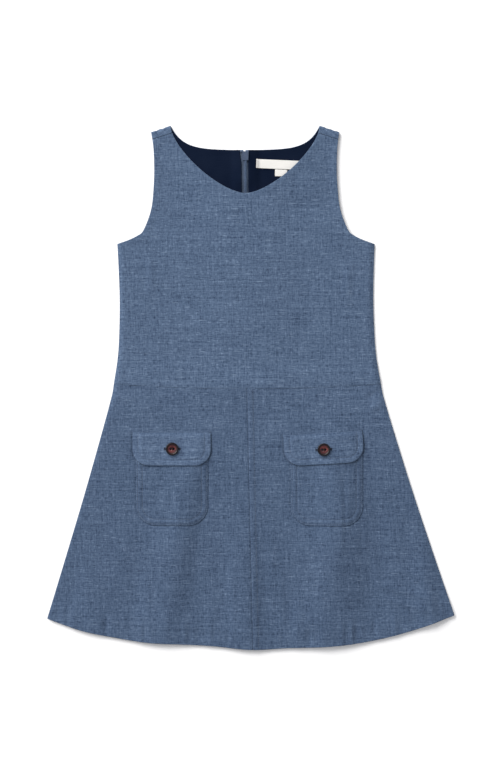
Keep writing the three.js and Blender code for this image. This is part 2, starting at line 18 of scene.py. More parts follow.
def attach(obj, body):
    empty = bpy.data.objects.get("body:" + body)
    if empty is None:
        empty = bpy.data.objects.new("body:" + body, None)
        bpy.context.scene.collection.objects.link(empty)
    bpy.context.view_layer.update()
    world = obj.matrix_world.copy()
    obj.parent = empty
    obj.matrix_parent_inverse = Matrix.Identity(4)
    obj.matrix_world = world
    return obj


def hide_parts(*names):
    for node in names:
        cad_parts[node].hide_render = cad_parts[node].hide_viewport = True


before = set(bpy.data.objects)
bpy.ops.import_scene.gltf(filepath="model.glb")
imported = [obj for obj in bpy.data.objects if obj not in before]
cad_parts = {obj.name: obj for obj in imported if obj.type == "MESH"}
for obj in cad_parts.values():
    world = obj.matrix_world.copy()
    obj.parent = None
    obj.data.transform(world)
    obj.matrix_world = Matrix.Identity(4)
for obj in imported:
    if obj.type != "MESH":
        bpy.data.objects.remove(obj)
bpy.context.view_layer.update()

MM = 0.001

# Thickness of each cloth in the solids and as it shows, and the gap kept between the solids
CLOTH, TAPE, LINING, GAP = 1.2, 1.0, 1.0, 0.3
SHOWN_CLOTH, SHOWN_PATCH, SHOWN_LINING, SHOWN_TAPE, SHOWN_LABEL = 1.0, 0.8, 0.8, 0.7, 0.6

# How the dress lies
LEAN_OFFSET, LEAN_SLOPE, LEAN_BOW, LEAN_REACH, HEM_TILT = -3.25, -0.0117, 1.0, 300.0, 0.009

# Bodice and skirt: rows of v or share down, and half width
WAIST_V, WAIST_BOW, WAIST_HALF = 4.6, 6.0, 166.7
UNDERARM_V, UNDERARM_HALF = 179.4, 160.8
BODICE_SIDE = [(WAIST_V, WAIST_HALF), (34.6, 161.9), (60, 159.7), (110, 158.4), (160, 159.8),
               (UNDERARM_V, UNDERARM_HALF)]
SKIRT_SIDE = [(0, WAIST_HALF), (0.05, 169.4), (0.25, 186.0), (0.5, 207.8), (0.75, 230.8), (1, 254.2)]
HEM = [(-254.5, -286.4), (-211, -301.8), (-171, -310.5), (-131, -317.2), (-91, -319.7), (-51, -322.1),
       (0, -327.3), (48, -325.6), (88, -324.7), (128, -321.2), (168, -314), (208, -303.2), (254.5, -286.4)]
BACK_HEM_SHORT = 1.0

# Necklines and armhole, in u and v
NECK_POINT, SHOULDER_POINT, SEAM_DROP = (93.0, 327.3), (117.5, 319.4), 10.0
ARMHOLE = [(117.9, 326), (117.3, 318), (114.9, 300), (114, 278), (114.6, 254), (118, 223), (127.6, 197),
           (135.4, 189.8), (146.4, 184.4), (160.6, UNDERARM_V)]
FRONT_NECK = [(0, 242.7), (33, 244), (92, 298.8), NECK_POINT]
BACK_NECK = [(0, 296.6), (51, 298.6), (78, 295.2), NECK_POINT]

# Folds of the front skirt: crest start u and v, u at the hem, widths of both slopes, height
FOLDS = [(-78, -92, -111, 46, 36, 4.4), (-14, -120, -3, 34, 30, 2.4), (88, -84, 94, 48, 62, 5.0),
         (205, -205, 228, 30, 17, 2.6), (-196, -190, -205, 24, 40, 1.3)]
FOLD_FULL = 0.8

# Room under the front, and the rise of the back over the pull tab
RIM = 6.0
LINING_ROOM, LINED_TO_DOWN = LINING + GAP, 0.22
ZIP_ROOM, ZIP_ROOM_HALF, ZIP_ROOM_END, ZIP_ROOM_FADE, ROOM_FADE = 1.9, 16.0, -34.0, 40.0, 64.0
LABEL_ROOM = dict(room=1.3, low_u=36, high_u=78, low_v=252, high_v=298, fade=32)
LIFT = dict(height=2.8, flat=3.4, fade=14.6, low=244, full=262)

# Zip, lining, labels, pockets and buttons
ZIP_BOTTOM_V, ZIP_TOP_V, TAPE_HALF, TAPE_STEP_AT, TAPE_STEP = 12.0, 295.8, 12.5, 13.1, 5.0
CHAIN_LOW_V, CHAIN_TOP_V, CHAIN_BASE, IN_SLIDER = 13.0, 286.0, 2.8, 2.7
LINING_EDGE, LINING_HALF, LINING_LOW_V = {-1: 5.0, 1: 3.3}, 150.5, 8.0
LINING_FLARE, FLARE_FROM_V, FLARE_FADE = {-1: 1.9, 1: 0.8}, 278, 14
LINING_NECK_IN, LINING_ARM_IN, LINING_SHOULDER_IN = 0.5, 3.0, 4.5
NECK_LABEL = dict(x=7.1, y=285.4, width=61, height=11.3, turn=-2.5)
SIZE_TAB = dict(x=30.4, y=272.6, width=15.2, height=8.6, turn=-2.5)
POCKETS = {"left": dict(x=-98.3, y=-68.8, width=89.4, height=103.1, corner=24, turn=0),
           "right": dict(x=94.9, y=-68.8, width=89.4, height=103.4, corner=24, turn=0)}
# A flap's pale is how much painted light brightens it.
FLAPS = {"left": dict(x=-98.7, y=-56, width=97.3, height=41.3, corner=20, turn=0, curl=0.2, pale=0.24),
         "right": dict(x=90.0, y=-56.7, width=98.6, height=38.8, corner=20, turn=3.6, curl=0.9, pale=0.1)}
BUTTONS = {"left": (-98, -76.3), "right": (90.9, -77.1)}

# How far each edge at the waist seam reaches into the other, so that the seam shows as a shallow line
SEAM_LAP = 0.18

# The centre front seam wanders this far over the skirt's length
SEAM_START, SEAM_DRIFT, SKIRT_LENGTH = -0.3, 2.5, 322.0
TOPSTITCH, POCKET_ROW, EDGE_ROW = 7.0, 7.6, 1.6

# Creases and swells that show beside the large folds. Each runs from u, v to u, v, and fades at its
# ends. Seen along the run, its width is given to the right and to the left, then its height and how
# far it bows to the left.
FRONT_CREASES = [
    (-50, -20, -95, -270, 42, 24, 2.6, -5), (100, -10, 114, -330, 40, 42, 3.2, 2),
    (104, -14, 112, -260, 30, 38, 2.8, 2), (124, -40, 134, -280, 14, 24, 1.2, 5),
    (-10, -120, -8, -372, 30, 36, 1.3, 0), (208, -150, 240, -372, 26, 20, 2.0, 0),
    (-196, -180, -214, -372, 20, 30, 0.8, 0), (112, -96, 112, -226, 6, 5, 0.6, 3),
    (127, -92, 126, -218, 6, 6, 0.7, -3), (140, -104, 143, -250, 7, 6, 0.6, 4),
    (154, -130, 162, -262, 8, 7, 0.5, -4), (-86, -104, -96, -214, 8, 6, 0.5, 3),
    (24, -150, 24, -330, 9, 9, 0.6, 3), (40, -190, 42, -372, 9, 8, 0.6, -3),
    (-24, -190, -24, -340, 8, 7, 0.6, 2), (60, -250, 62, -372, 11, 11, 1.0, -3),
    (-50, -250, -56, -372, 10, 10, 0.8, 2), (-130, -200, -140, -350, 14, 11, 0.8, 4),
    (-160, -120, -182, -330, 24, 22, 0.6, 7), (180, -130, 200, -300, 22, 18, 0.9, -6),
    (148, -246, 238, -268, 6, 8, 0.6, 0), (146, -262, 240, -288, 6, 8, 0.6, 2),
    (176, -226, 224, -240, 6, 7, 0.4, 0), (168, -2, 146, -16, 6, 6, -0.8, 0),
    (170, -16, 150, -30, 7, 8, 0.9, 0), (-168, -4, -140, -16, 8, 9, 0.5, -3),
    (-126, 180, -120, 100, 9, 8, 0.8, 4), (134, 168, 128, 96, 9, 9, 0.8, -5),
    (-150, 150, -112, 108, 11, 12, 0.4, -5), (-62, 214, -88, 120, 24, 24, 0.3, 8),
    (66, 226, 84, 132, 22, 22, 0.3, -7), (4, 190, 10, 60, 26, 24, 0.3, 5),
    (-160, 24, -30, 20, 14, 20, 0.7, 0), (20, 20, 110, 20, 14, 18, 0.5, 0),
    (-219, -258, -223, -350, 4.5, 4, 1.1, 0), (-138, -272, -140, -366, 4, 4.5, 1.2, 1),
    (-82, -280, -84, -372, 4.5, 4, 1.1, -1), (112, -280, 113, -372, 4.5, 4, 1.2, 1),
    (125, -278, 127, -372, 4, 4.5, 1.1, 0), (178, -268, 181, -360, 4.5, 4, 0.9, 0),
    (224, -258, 228, -350, 4.5, 4.5, 1.2, 0), (237, -254, 242, -346, 4, 4.5, 1.0, 0),
]
BACK_CREASES = [
    (-120, 170, -104, 70, 14, 12, 0.45, 6), (118, 160, 96, 60, 15, 15, 0.45, -7),
    (-40, 230, -60, 110, 18, 15, 0.4, 5), (44, 220, 52, 96, 16, 18, 0.4, -6),
    (-150, 10, -40, 14, 14, 14, 0.4, 0), (30, 10, 150, 12, 14, 12, 0.4, 0),
    (-140, -60, -176, -250, 18, 15, 0.5, 8), (-84, -90, -104, -330, 15, 18, 0.5, -6),
    (-20, -70, -28, -340, 17, 14, 0.5, 5), (48, -110, 60, -350, 14, 17, 0.5, -5),
    (110, -60, 138, -300, 18, 18, 0.5, 7), (168, -120, 200, -270, 13, 16, 0.45, -5),
]
CREASE_FADE, LONGEST_FADE = 0.4, 110.0

# Relief of the cloth: heights, and the widths or depths over which they fade. Near the hem the folds
# lose the share HEM_EASE of what lies above HEM_REST, and the hem is raised by HEM_LIFT.
FACING, FACING_TO, FACING_FADE = 0.3, 6, 3
WAIST_PRESSED, WAIST_PRESSED_FROM, WAIST_PRESSED_FADE = 0.8, 4, 28
WAIST_DIP, WAIST_DIP_FADE, BELOW_WAIST, BELOW_WAIST_FADE = 0.25, 2.5, 0.33, 5
SIDE_DROP, SIDE_DROP_FADE = 0.55, 4
CENTRE_DIP, CENTRE_DIP_FADE, CENTRE_PRESSED = 0.35, 2, 0.45
HEM_REST, HEM_EASE, HEM_EASE_FADE = 3.0, 0.4, 34
HEM_LIFT, HEM_LIFT_FADE = 1.4, 50
HEM_TURNED, HEM_DEPTH, HEM_PUCKER, HEM_PUCKER_AT, HEM_PUCKER_REACH = 0.22, 22, 2.0, 13, 12
POCKET_BASE, POCKET_SEWN, POCKET_PUFF, POCKET_BAND, POCKET_HEM = 0.3, 0.2, 0.3, 0.16, 0.15
FLAP_BASE, FLAP_ENDS, FLAP_SEWN, FLAP_BAND = 0.1, 0.45, 0.85, 0.2
FLAP_OVER_POCKET, FLAP_DROOP, POCKET_HALF = 1.15, 1.05, 44.7
FLAP_RAMP_DOWN, FLAP_RAMP_LENGTH = 0.16, 0.037
STRAP_OVER_FRONT, BACK_FREE, STRAP_BLEND = 0.28, 12, 6
LABEL_CURL, LABEL_FOLD = 0.25, 0.05

# How far the cloth is drawn in by stitches, and round a pocket and a flap: off the edge, depth, width
STITCH_PULL, STITCH_PULL_CHANGE, STITCH_PULL_WIDTH = 0.36, 0.35, 0.8
DRAWN_BY_POCKET, DRAWN_BY_FLAP = (0.5, 0.35, 1.0), (0.6, 0.7, 1.2)


def smooth(x):
    x = np.clip(x, 0, 1)
    return x * x * (3 - 2 * x)


def along(rows, at):
    """A smooth curve through the rows (place, value) of a table."""
    key, value = np.array(rows, float).T
    at = np.asarray(at, float)
    i = np.searchsorted(key[1:-1], at)
    before, after, beyond = np.maximum(i - 1, 0), i + 1, np.minimum(i + 2, len(key) - 1)
    span = key[after] - key[i]
    t = np.clip((at - key[i]) / span, 0, 1)
    start = (value[after] - value[before]) / (key[after] - key[before]) * span
    end = (value[beyond] - value[i]) / (key[beyond] - key[i]) * span
    rise = value[after] - value[i]
    return value[i] + start * t + (3 * rise - 2 * start - end) * t**2 + (start + end - 2 * rise) * t**3


def laid(u, v):
    """The place on the surface of a point of the cut."""
    turn = HEM_TILT * np.clip(-v / LEAN_REACH, 0, 1)
    bow = LEAN_BOW * (1 - np.minimum(1, (v / LEAN_REACH) ** 2))
    return u + LEAN_OFFSET + LEAN_SLOPE * v - bow, v + turn * u


def unlaid(x, y):
    """The point of the cut at a place on the surface."""
    u, v = x - LEAN_OFFSET, y
    for _ in range(4):
        off_x, off_y = laid(u, v)
        u, v = u + x - off_x, v + y - off_y
    return u, v


def waist_v(u):
    return WAIST_V - WAIST_BOW * (1 - (u / WAIST_HALF) ** 2)


def skirt_half(down):
    return along(SKIRT_SIDE, down)


def bodice_half(v):
    return np.where(v < UNDERARM_V, along(BODICE_SIDE, np.minimum(v, UNDERARM_V)), UNDERARM_HALF)


def down_of(u, v):
    """Share of the way from the waist to the hem, 0 on the bodice."""
    down = np.clip((waist_v(u) - v) / SKIRT_LENGTH, 0, 1)
    for _ in range(6):
        share = np.clip(u / skirt_half(down), -1, 1)
        top = waist_v(share * WAIST_HALF) - GAP / 2
        bottom = along(HEM, share * skirt_half(1.0))
        down = np.clip((v - top) / (bottom - top), 0, 1)
    return down


def lift(u, v):
    """Height of the cloth over the pull tab."""
    across = 1 - smooth((np.abs(u) - LIFT["flat"]) / LIFT["fade"])
    return LIFT["height"] * across * smooth((v - LIFT["low"]) / (LIFT["full"] - LIFT["low"]))


def folds(u, v):
    total = 0 * u
    for start_u, start_v, hem_u, left, right, height in FOLDS:
        length = along(HEM, hem_u) - start_v
        run = np.clip((v - start_v) / length, 0, 1)
        off = u - (start_u + run * (hem_u - start_u))
        section = 1 - smooth(np.abs(off) / np.where(off < 0, left, right))
        total = total + height * section * smooth(run / FOLD_FULL)
    return total


def label_room(u, v):
    r = LABEL_ROOM
    out_u = np.maximum(np.maximum(r["low_u"] - u, u - r["high_u"]), 0) / r["fade"]
    out_v = np.maximum(np.maximum(r["low_v"] - v, v - r["high_v"]), 0) / r["fade"]
    return r["room"] * (1 - smooth(out_u)) * (1 - smooth(out_v))


BLOCK = 4000


def path_distance(points, path):
    """Distance of each point from an open path, and the length along it, in blocks to save memory."""
    start, step = path[:-1], np.diff(path, axis=0)
    length = np.linalg.norm(step, axis=1)
    reached = np.concatenate([[0], np.cumsum(length)[:-1]])
    away, at = np.empty(len(points)), np.empty(len(points))
    for i in range(0, len(points), BLOCK):
        p = points[i:i + BLOCK, None]
        t = np.clip(((p - start) * step).sum(2) / length**2, 0, 1)
        gap = np.linalg.norm(start + t[..., None] * step - p, axis=2)
        near = gap.argmin(1)
        rows = np.arange(len(near))
        away[i:i + BLOCK] = gap[rows, near]
        at[i:i + BLOCK] = reached[near] + t[rows, near] * length[near]
    return away, at


def inside_distance(points, loop):
    """How far each point lies inside a closed loop, negative outside."""
    a, b = loop, np.roll(loop, -1, 0)
    away, _ = path_distance(points, np.concatenate([loop, loop[:1]]))
    inside = np.zeros(len(points), bool)
    rise = np.where(b[:, 1] == a[:, 1], 1e-12, b[:, 1] - a[:, 1])
    for i in range(0, len(points), BLOCK):
        x, y = points[i:i + BLOCK, :1], points[i:i + BLOCK, 1:]
        crossing = x < a[:, 0] + (y - a[:, 1]) / rise * (b[:, 0] - a[:, 0])
        crosses = ((a[:, 1] > y) != (b[:, 1] > y)) & crossing
        inside[i:i + BLOCK] = crosses.sum(1) % 2 == 1
    return np.where(inside, away, -away)


def creases(rows, u, v):
    """Soft ridges, steeper on one side than on the other, that fade in and out."""
    total = np.zeros(len(u))
    for u0, v0, u1, v1, right, left, height, bow in rows:
        length = math.hypot(u1 - u0, v1 - v0)
        du, dv = (u1 - u0) / length, (v1 - v0) / length
        run = (u - u0) * du + (v - v0) * dv
        share = np.clip(run / length, 0, 1)
        off = (v - v0) * du - (u - u0) * dv - bow * 4 * share * (1 - share)
        fade = min(CREASE_FADE * length, LONGEST_FADE)
        ends = smooth(run / fade) * smooth((length - run) / fade)
        total += height * ends * (1 - smooth(np.abs(off) / np.where(off < 0, right, left)))
    return total


def wobble(u, v, size, seed):
    """Smooth unevenness of about this size, from -1 to 1."""
    return np.array([noise.noise(Vector((a, b, seed))) for a, b in zip(u / size, v / size)])


def front_relief(u, v):
    """What the cloth does on its own: creases, slow swells and small unevenness."""
    return creases(FRONT_CREASES, u, v) + 0.18 * wobble(u, v, 60, 1.5) + 0.05 * wobble(u, v, 16, 7.5)


def back_relief(u, v):
    return np.maximum(0, creases(BACK_CREASES, u, v) + 0.12 * wobble(u, v, 30, 3.5))


def width_at(u, v):
    """Share of the way down the skirt, and half the dress's width there."""
    down = np.where(v < waist_v(u), down_of(u, v), 0)
    return down, np.where(down > 0, skirt_half(down), bodice_half(v))


def front_top(u, v):
    """Upper face of the front, from the shoulders to the hem."""
    down, half = width_at(u, v)
    rim = smooth((half - np.abs(u)) / RIM)
    lined = LINING_ROOM * rim * (1 - smooth(down / LINED_TO_DOWN))
    across = 1 - smooth((np.abs(u) - ZIP_ROOM_HALF) / ROOM_FADE)
    zipped = ZIP_ROOM * across * smooth((v - ZIP_ROOM_END) / ZIP_ROOM_FADE)
    under = CLOTH + GAP + lined + zipped + label_room(u, v) + rim * folds(u, v)
    return under + CLOTH + rim * front_relief(u, v)


def ripple(at, away, seed, height=0.3, size=9.0, reach=9.0):
    """Pucker along a seam: it fades away from it."""
    return height * wobble(at, 0 * at, size, seed) * np.exp(-away / reach)


# Cutting a piece into fine triangles

EDGE_STEPS, EDGE_SPACING = (0.067, 0.25, 0.5, 1.1, 2.0), 1.8
ROW_OFFSETS, ROW_SPACING, ROW_CLEAR = (-1.2, -0.5, 0, 0.5, 1.2), 1.35, 0.8
ROW_OF_TRIANGLES = 0.866


def measured(run):
    """A run of points with the length that is reached at each."""
    run = np.asarray(run, float)
    return run, np.concatenate([[0], np.cumsum(np.linalg.norm(np.diff(run, axis=0), axis=1))])


def points_at(run, reached, place):
    return np.stack([np.interp(place, reached, run[:, 0]), np.interp(place, reached, run[:, 1])], 1)


def even(run, spacing):
    """A run of points in equal steps, both ends kept."""
    run, reached = measured(run)
    place = np.linspace(0, reached[-1], max(1, math.ceil(reached[-1] / spacing)) + 1)
    return points_at(run, reached, place)


def outline(runs):
    """A closed loop of even steps from its runs."""
    return np.concatenate([even(run, EDGE_SPACING)[:-1] for run in runs])


def beside(run, offset):
    """A run moved to its left."""
    step = np.gradient(run, axis=0)
    step /= np.linalg.norm(step, axis=1)[:, None]
    return run + offset * np.stack([-step[:, 1], step[:, 0]], 1)


def fill(runs, spacing, rows):
    """Triangles over a cut whose outline runs anticlockwise: points, triangles, depth inside the edge."""
    loop = outline(runs)
    found = [loop]
    for run in runs:
        fine = even(run, EDGE_SPACING)
        if len(fine) > 2:
            for depth in EDGE_STEPS:
                points = beside(fine, depth)
                found.append(points[inside_distance(points, loop) > depth * 0.96])
    for row in rows:
        fine = even(row, ROW_SPACING)
        sewn = np.concatenate([beside(fine, offset) for offset in ROW_OFFSETS])
        found.append(sewn[inside_distance(sewn, loop) > ROW_CLEAR])
    low, high = loop.min(0), loop.max(0)
    lines = []
    for i, y in enumerate(np.arange(low[1], high[1], spacing * ROW_OF_TRIANGLES)):
        x = np.arange(low[0] + (i % 2) * spacing / 2, high[0], spacing)
        lines.append(np.stack([x, np.full(len(x), y)], 1))
    grid = np.concatenate(lines)
    grid = grid[inside_distance(grid, loop) > EDGE_STEPS[-1] + 0.55 * spacing]
    for row in rows:
        grid = grid[path_distance(grid, np.asarray(row, float))[0] > ROW_OFFSETS[-1] + 0.5 * spacing]
    found.append(grid)
    points = np.concatenate(found)
    count = len(loop)
    edges = [(i, (i + 1) % count) for i in range(count)]
    made = delaunay_2d_cdt([Vector(p) for p in points], edges, [], 1, 1e-5)
    flat = np.array([tuple(p) for p in made[0]])
    rim = np.array([any(i < count for i in ids) for ids in made[3]])
    depth = np.where(rim, 0, np.maximum(inside_distance(flat, loop), 0))
    return flat, np.array(made[2]), depth


SIDES_APART = 0.013


class Cloth:
    """One cut piece. form(points, depth) gives the middle of its wall and the way its outer face looks.

    The weave of its inner side is taken SIDES_APART away, so that the two sides aren't alike.
    """

    def __init__(self, name, runs, form, thick=SHOWN_CLOTH, spacing=2.4, rows=(), drawn=(), offset=(0, 0),
                 tone=None):
        self.name, self.form, self.thick, self.offset = name, form, thick, np.array(offset)
        self.rows, self.drawn = [np.asarray(row, float) for row in rows], drawn
        self.loop = outline(runs)
        flat, triangles, depth = fill(runs, spacing, self.rows + [path for path, _, _ in drawn])
        outer, inner = self.faces(flat, depth)
        rim = depth == 0
        count = len(flat)
        twin = np.where(rim, np.arange(count), count + np.cumsum(~rim) - 1)
        points = np.concatenate([outer, inner[~rim]])
        cut = np.concatenate([flat, flat[~rim]])
        faces = np.concatenate([triangles, twin[triangles[:, ::-1]]])
        self.obj = mesh_object(name, points, faces.tolist())
        side = np.concatenate([np.zeros(count), np.ones((~rim).sum())])
        at = np.column_stack([(cut + self.offset) * MM, side * SIDES_APART])
        per_point(self.obj, "cut", at, "FLOAT_VECTOR", "vector")
        # A piece may carry a value of painted light for each point.
        if tone:
            per_point(self.obj, "tone", tone(*cut.T))
        self.box, self.area = cut.max(0) - cut.min(0), polygon_area(self.loop)

    def faces(self, flat, depth):
        middle, normal = self.form(flat, depth)
        roll = np.sqrt(1 - (1 - np.clip(depth / (self.thick / 2), 0, 1)) ** 2)
        half = (self.thick / 2 * roll)[:, None] * normal
        return middle + half - self.groove(flat)[:, None] * normal, middle - half

    def groove(self, flat):
        """How far the cloth is drawn in along each row of stitches and beside what is sewn on."""
        total = np.zeros(len(flat))
        for row in self.rows:
            away, at = path_distance(flat, row)
            pull = 1 + STITCH_PULL_CHANGE * np.cos(at * 2 * math.pi / STITCH_PITCH)
            total = np.maximum(total, STITCH_PULL * pull * np.exp(-((away / STITCH_PULL_WIDTH) ** 2)))
        for path, depth, width in self.drawn:
            away, _ = path_distance(flat, path)
            total = np.maximum(total, depth * np.exp(-((away / width) ** 2)))
        return total

    def surface(self, flat):
        """Points of the outer face and the way it looks there."""
        depth = np.maximum(inside_distance(flat, self.loop), self.thick / 2)
        outer, _ = self.faces(flat, depth)
        return outer, self.form(flat, depth)[1]


def polygon_area(loop):
    x, y = loop.T
    return abs((x * np.roll(y, -1) - y * np.roll(x, -1)).sum()) / 2


def put(name, data):
    obj = bpy.data.objects.new(name, data)
    bpy.context.scene.collection.objects.link(obj)
    return obj


def per_point(obj, name, values, kind="FLOAT", key="value"):
    """Keeps a value of each point for its material. The one named cut is its place in the cut, in metres."""
    attribute = obj.data.attributes.new(name, kind, "POINT")
    attribute.data.foreach_set(key, values.astype(np.float32).ravel())


def mesh_object(name, points, faces):
    """A smooth mesh from points in millimetres, its faces turned outward."""
    mesh = bpy.data.meshes.new(name)
    mesh.from_pydata((np.asarray(points) * MM).tolist(), [], faces)
    work = bmesh.new()
    work.from_mesh(mesh)
    bmesh.ops.recalc_face_normals(work, faces=work.faces)
    work.to_mesh(mesh)
    work.free()
    mesh.polygons.foreach_set("use_smooth", [True] * len(mesh.polygons))
    mesh.update()
    return put(name, mesh)


# Thread: each stitch is a short tube that dips into the cloth at both ends

STITCH_PITCH, STITCH_LENGTH, THREAD = 2.7, 2.1, 0.24
STITCH_SHAPE = [(-1, -0.22, 0.5), (-0.72, 0.06, 0.85), (0, 0.16, 1), (0.72, 0.06, 0.85), (1, -0.22, 0.5)]
TUBE_SIDES = 6


def tubes(name, starts, ends, normals, radius=THREAD, shape=STITCH_SHAPE):
    """Short tubes from starts to ends, arched along normals. A shape has rows of share, rise and width."""
    middle, half = (starts + ends) / 2, (ends - starts) / 2
    across = np.cross(normals, half)
    across /= np.linalg.norm(across, axis=1)[:, None]
    angle = np.arange(TUBE_SIDES) * 2 * math.pi / TUBE_SIDES
    rings = []
    for share, rise, wide in shape:
        centre = middle + share * half + rise * normals
        ring = [centre + radius * wide * (math.cos(a) * across + math.sin(a) * normals) for a in angle]
        rings.append(np.stack(ring, 1))
    points = np.stack(rings, 1)
    count, levels = len(starts), len(shape)
    at = np.arange(count * levels * TUBE_SIDES).reshape(count, levels, TUBE_SIDES)
    turned = np.roll(at, -1, 2)
    walls = np.stack([at[:, :-1], turned[:, :-1], turned[:, 1:], at[:, 1:]], -1).reshape(-1, 4)
    caps = np.concatenate([at[:, 0, ::-1], at[:, -1]])
    return mesh_object(name, points.reshape(-1, 3), walls.tolist() + caps.tolist())


def stitch(name, cloth, rows):
    """Rows of stitches on a piece, along paths of its cut."""
    starts, ends, normals = [], [], []
    pitch, length = STITCH_PITCH, STITCH_LENGTH
    for row in rows:
        row, reached = measured(row)
        count = int(reached[-1] // pitch)
        begin = (reached[-1] - count * pitch) / 2 + (pitch - length) / 2 + np.arange(count) * pitch
        first, normal = cloth.surface(points_at(row, reached, begin))
        second, _ = cloth.surface(points_at(row, reached, begin + length))
        starts.append(first)
        ends.append(second)
        normals.append(normal)
    return tubes(name, np.concatenate(starts), np.concatenate(ends), np.concatenate(normals))


# Outlines of the cut pieces, as runs of points with a corner between two runs

def clip_run(points, level):
    """The part of a run where level(points) is below 0, ending on it."""
    points = np.asarray(points, float)
    value = level(points)
    keep = [points[i] for i in range(len(points)) if value[i] < 0]
    for i in range(len(points) - 1):
        if (value[i] < 0) != (value[i + 1] < 0):
            share = value[i] / (value[i] - value[i + 1])
            crossing = points[i] + share * (points[i + 1] - points[i])
            keep = keep + [crossing] if value[i] < 0 else [crossing] + keep
    return np.array(keep)


def armhole(inset=0.0, count=80):
    """From the shoulder down to the underarm."""
    t = np.linspace(0, len(ARMHOLE) - 1, count)
    return np.stack([along(list(enumerate(values)), t) - inset for values in zip(*ARMHOLE)], 1)


def neckline(handles, inset=0.0, count=60):
    """From the centre out and up to the neck point, and straight on over the shoulder."""
    a, b, c, d = (np.array(p, float) for p in handles)
    a, b, c, d = a - [0, inset], b - [0, inset], c + [inset, -inset], d + [inset, 0]
    t = np.linspace(0, 1, count)[:, None]
    curve = (1 - t) ** 3 * a + 3 * (1 - t) ** 2 * t * b + 3 * (1 - t) * t**2 * c + t**3 * d
    return np.concatenate([curve, [d + [0, 5]]])


SHOULDER_SLOPE = (SHOULDER_POINT[1] - NECK_POINT[1]) / (SHOULDER_POINT[0] - NECK_POINT[0])


def above_shoulder(drop):
    """How far above a line that runs parallel to the shoulder folds a point lies."""
    return lambda p: p[:, 1] - (NECK_POINT[1] + SHOULDER_SLOPE * (np.abs(p[:, 0]) - NECK_POINT[0]) - drop)


def mirrored(run):
    return (np.asarray(run) * [-1, 1])[::-1]


def bodice_side():
    rows = np.linspace(WAIST_V, UNDERARM_V, 60)
    return np.stack([bodice_half(rows), rows + GAP / 2], 1)


def waist_line(u0, u1, above):
    u = np.linspace(u0, u1, 80)
    return np.stack([u, waist_v(u) + above], 1)


def join(*runs):
    """Runs made to meet end to start."""
    out = [np.array(run, float) for run in runs]
    for one, following in zip(out, out[1:] + out[:1]):
        one[-1] = following[0]
    return out


def bodice_front_runs():
    side = bodice_side()
    arm = clip_run(armhole(), above_shoulder(SEAM_DROP + GAP / 2))[::-1]
    neck = clip_run(neckline(FRONT_NECK), above_shoulder(SEAM_DROP + GAP / 2))
    return join(
        waist_line(-WAIST_HALF, WAIST_HALF, -SEAM_LAP), side, arm, [arm[-1], neck[-1]], neck[::-1],
        mirrored(neck[::-1]), mirrored([arm[-1], neck[-1]]), mirrored(arm), mirrored(side),
    )


def seam_u(v):
    return SEAM_START + SEAM_DRIFT * np.clip(-v / SKIRT_LENGTH, 0, 1)


def skirt_runs(from_share, to_share, shorter=0.0):
    """The skirt between two shares of its half width. Share 0 is the centre front seam."""
    share, down = np.linspace(from_share, to_share, 90), np.linspace(0, 1, 90)

    def point(share, down):
        top = waist_v(share * WAIST_HALF) + SEAM_LAP
        bottom = along(HEM, share * skirt_half(1.0)) + shorter
        v = top + down * (bottom - top)
        u = share * skirt_half(down)
        side = np.sign(from_share + to_share)
        return np.stack([np.where(share == 0, seam_u(v) + side * 0.05, u), v], 1)

    top, right, bottom, left = (point(share, 0 * share), point(to_share + 0 * down, down),
                                point(share, 1 + 0 * share), point(from_share + 0 * down, down))
    return join(top[::-1], left, bottom, right[::-1])


def patch_runs(width, height, corner, inset=0.0):
    """A patch with two round lower corners, in its own frame, from the middle of its top edge."""
    half, low, r = width / 2 - inset, -height + inset, corner - inset
    turn = np.linspace(0, math.pi / 2, 14)[:, None]
    left = np.array([-half + r, low + r]) + r * np.hstack([-np.cos(turn), -np.sin(turn)])
    right = np.array([half - r, low + r]) + r * np.hstack([np.sin(turn), -np.cos(turn)])
    side_left, side_right = [[-half, 0], left[0]], [right[-1], [half, 0]]
    return [side_left, left, [left[-1], right[0]], right, side_right, [[half, 0], [-half, 0]]]


def outline_of(patch):
    return {key: patch[key] for key in ("width", "height", "corner")}


def patch_row(patch, inset):
    """The topstitching inside a patch's sides and lower edge."""
    runs = [np.array(run, float) for run in patch_runs(**outline_of(patch), inset=inset)[:5]]
    return np.concatenate([run[:-1] for run in runs] + [runs[-1][-1:]])


def drawn_round(patch, away, depth, width):
    """The skirt's cloth drawn in just outside a patch."""
    return np.stack(unlaid(*placed(patch, patch_row(patch, -away))), 1), depth, width


def placed(patch, points):
    """Places on the surface of points of a patch's own frame."""
    angle = math.radians(patch["turn"])
    x, y = points.T
    return (patch["x"] + x * math.cos(angle) - y * math.sin(angle),
            patch["y"] + x * math.sin(angle) + y * math.cos(angle))


UP = np.array([0.0, 0.0, 1.0])


def facing_up(x, y, z):
    return np.stack([x, y, z], 1), np.tile(UP, (len(x), 1))


def upright(u, v, z):
    """Points over the cut, looking up."""
    return facing_up(*laid(u, v), z)


# Forms: the middle of each piece's wall

def edge_drop(u, v):
    """The front's side edges come down to the back, where the side seam joins them."""
    _, half = width_at(u, v)
    drop = SIDE_DROP * (1 - smooth((half - np.abs(u)) / SIDE_DROP_FADE))
    return np.where(v < UNDERARM_V + 4, drop, 0)


def bodice_front_form(points, depth):
    u, v = points.T
    top = front_top(u, v) - edge_drop(u, v)
    faced = np.where(v > UNDERARM_V - 4, 1 - smooth((depth - FACING_TO) / FACING_FADE), 0)
    above = v - waist_v(u)
    pressed = WAIST_PRESSED * (1 - smooth((above - WAIST_PRESSED_FROM) / WAIST_PRESSED_FADE))
    pressed = pressed - WAIST_DIP * (1 - smooth(above / WAIST_DIP_FADE))
    return upright(u, v, top + FACING * faced + pressed + ripple(u, above, 11.5) - SHOWN_CLOTH / 2)


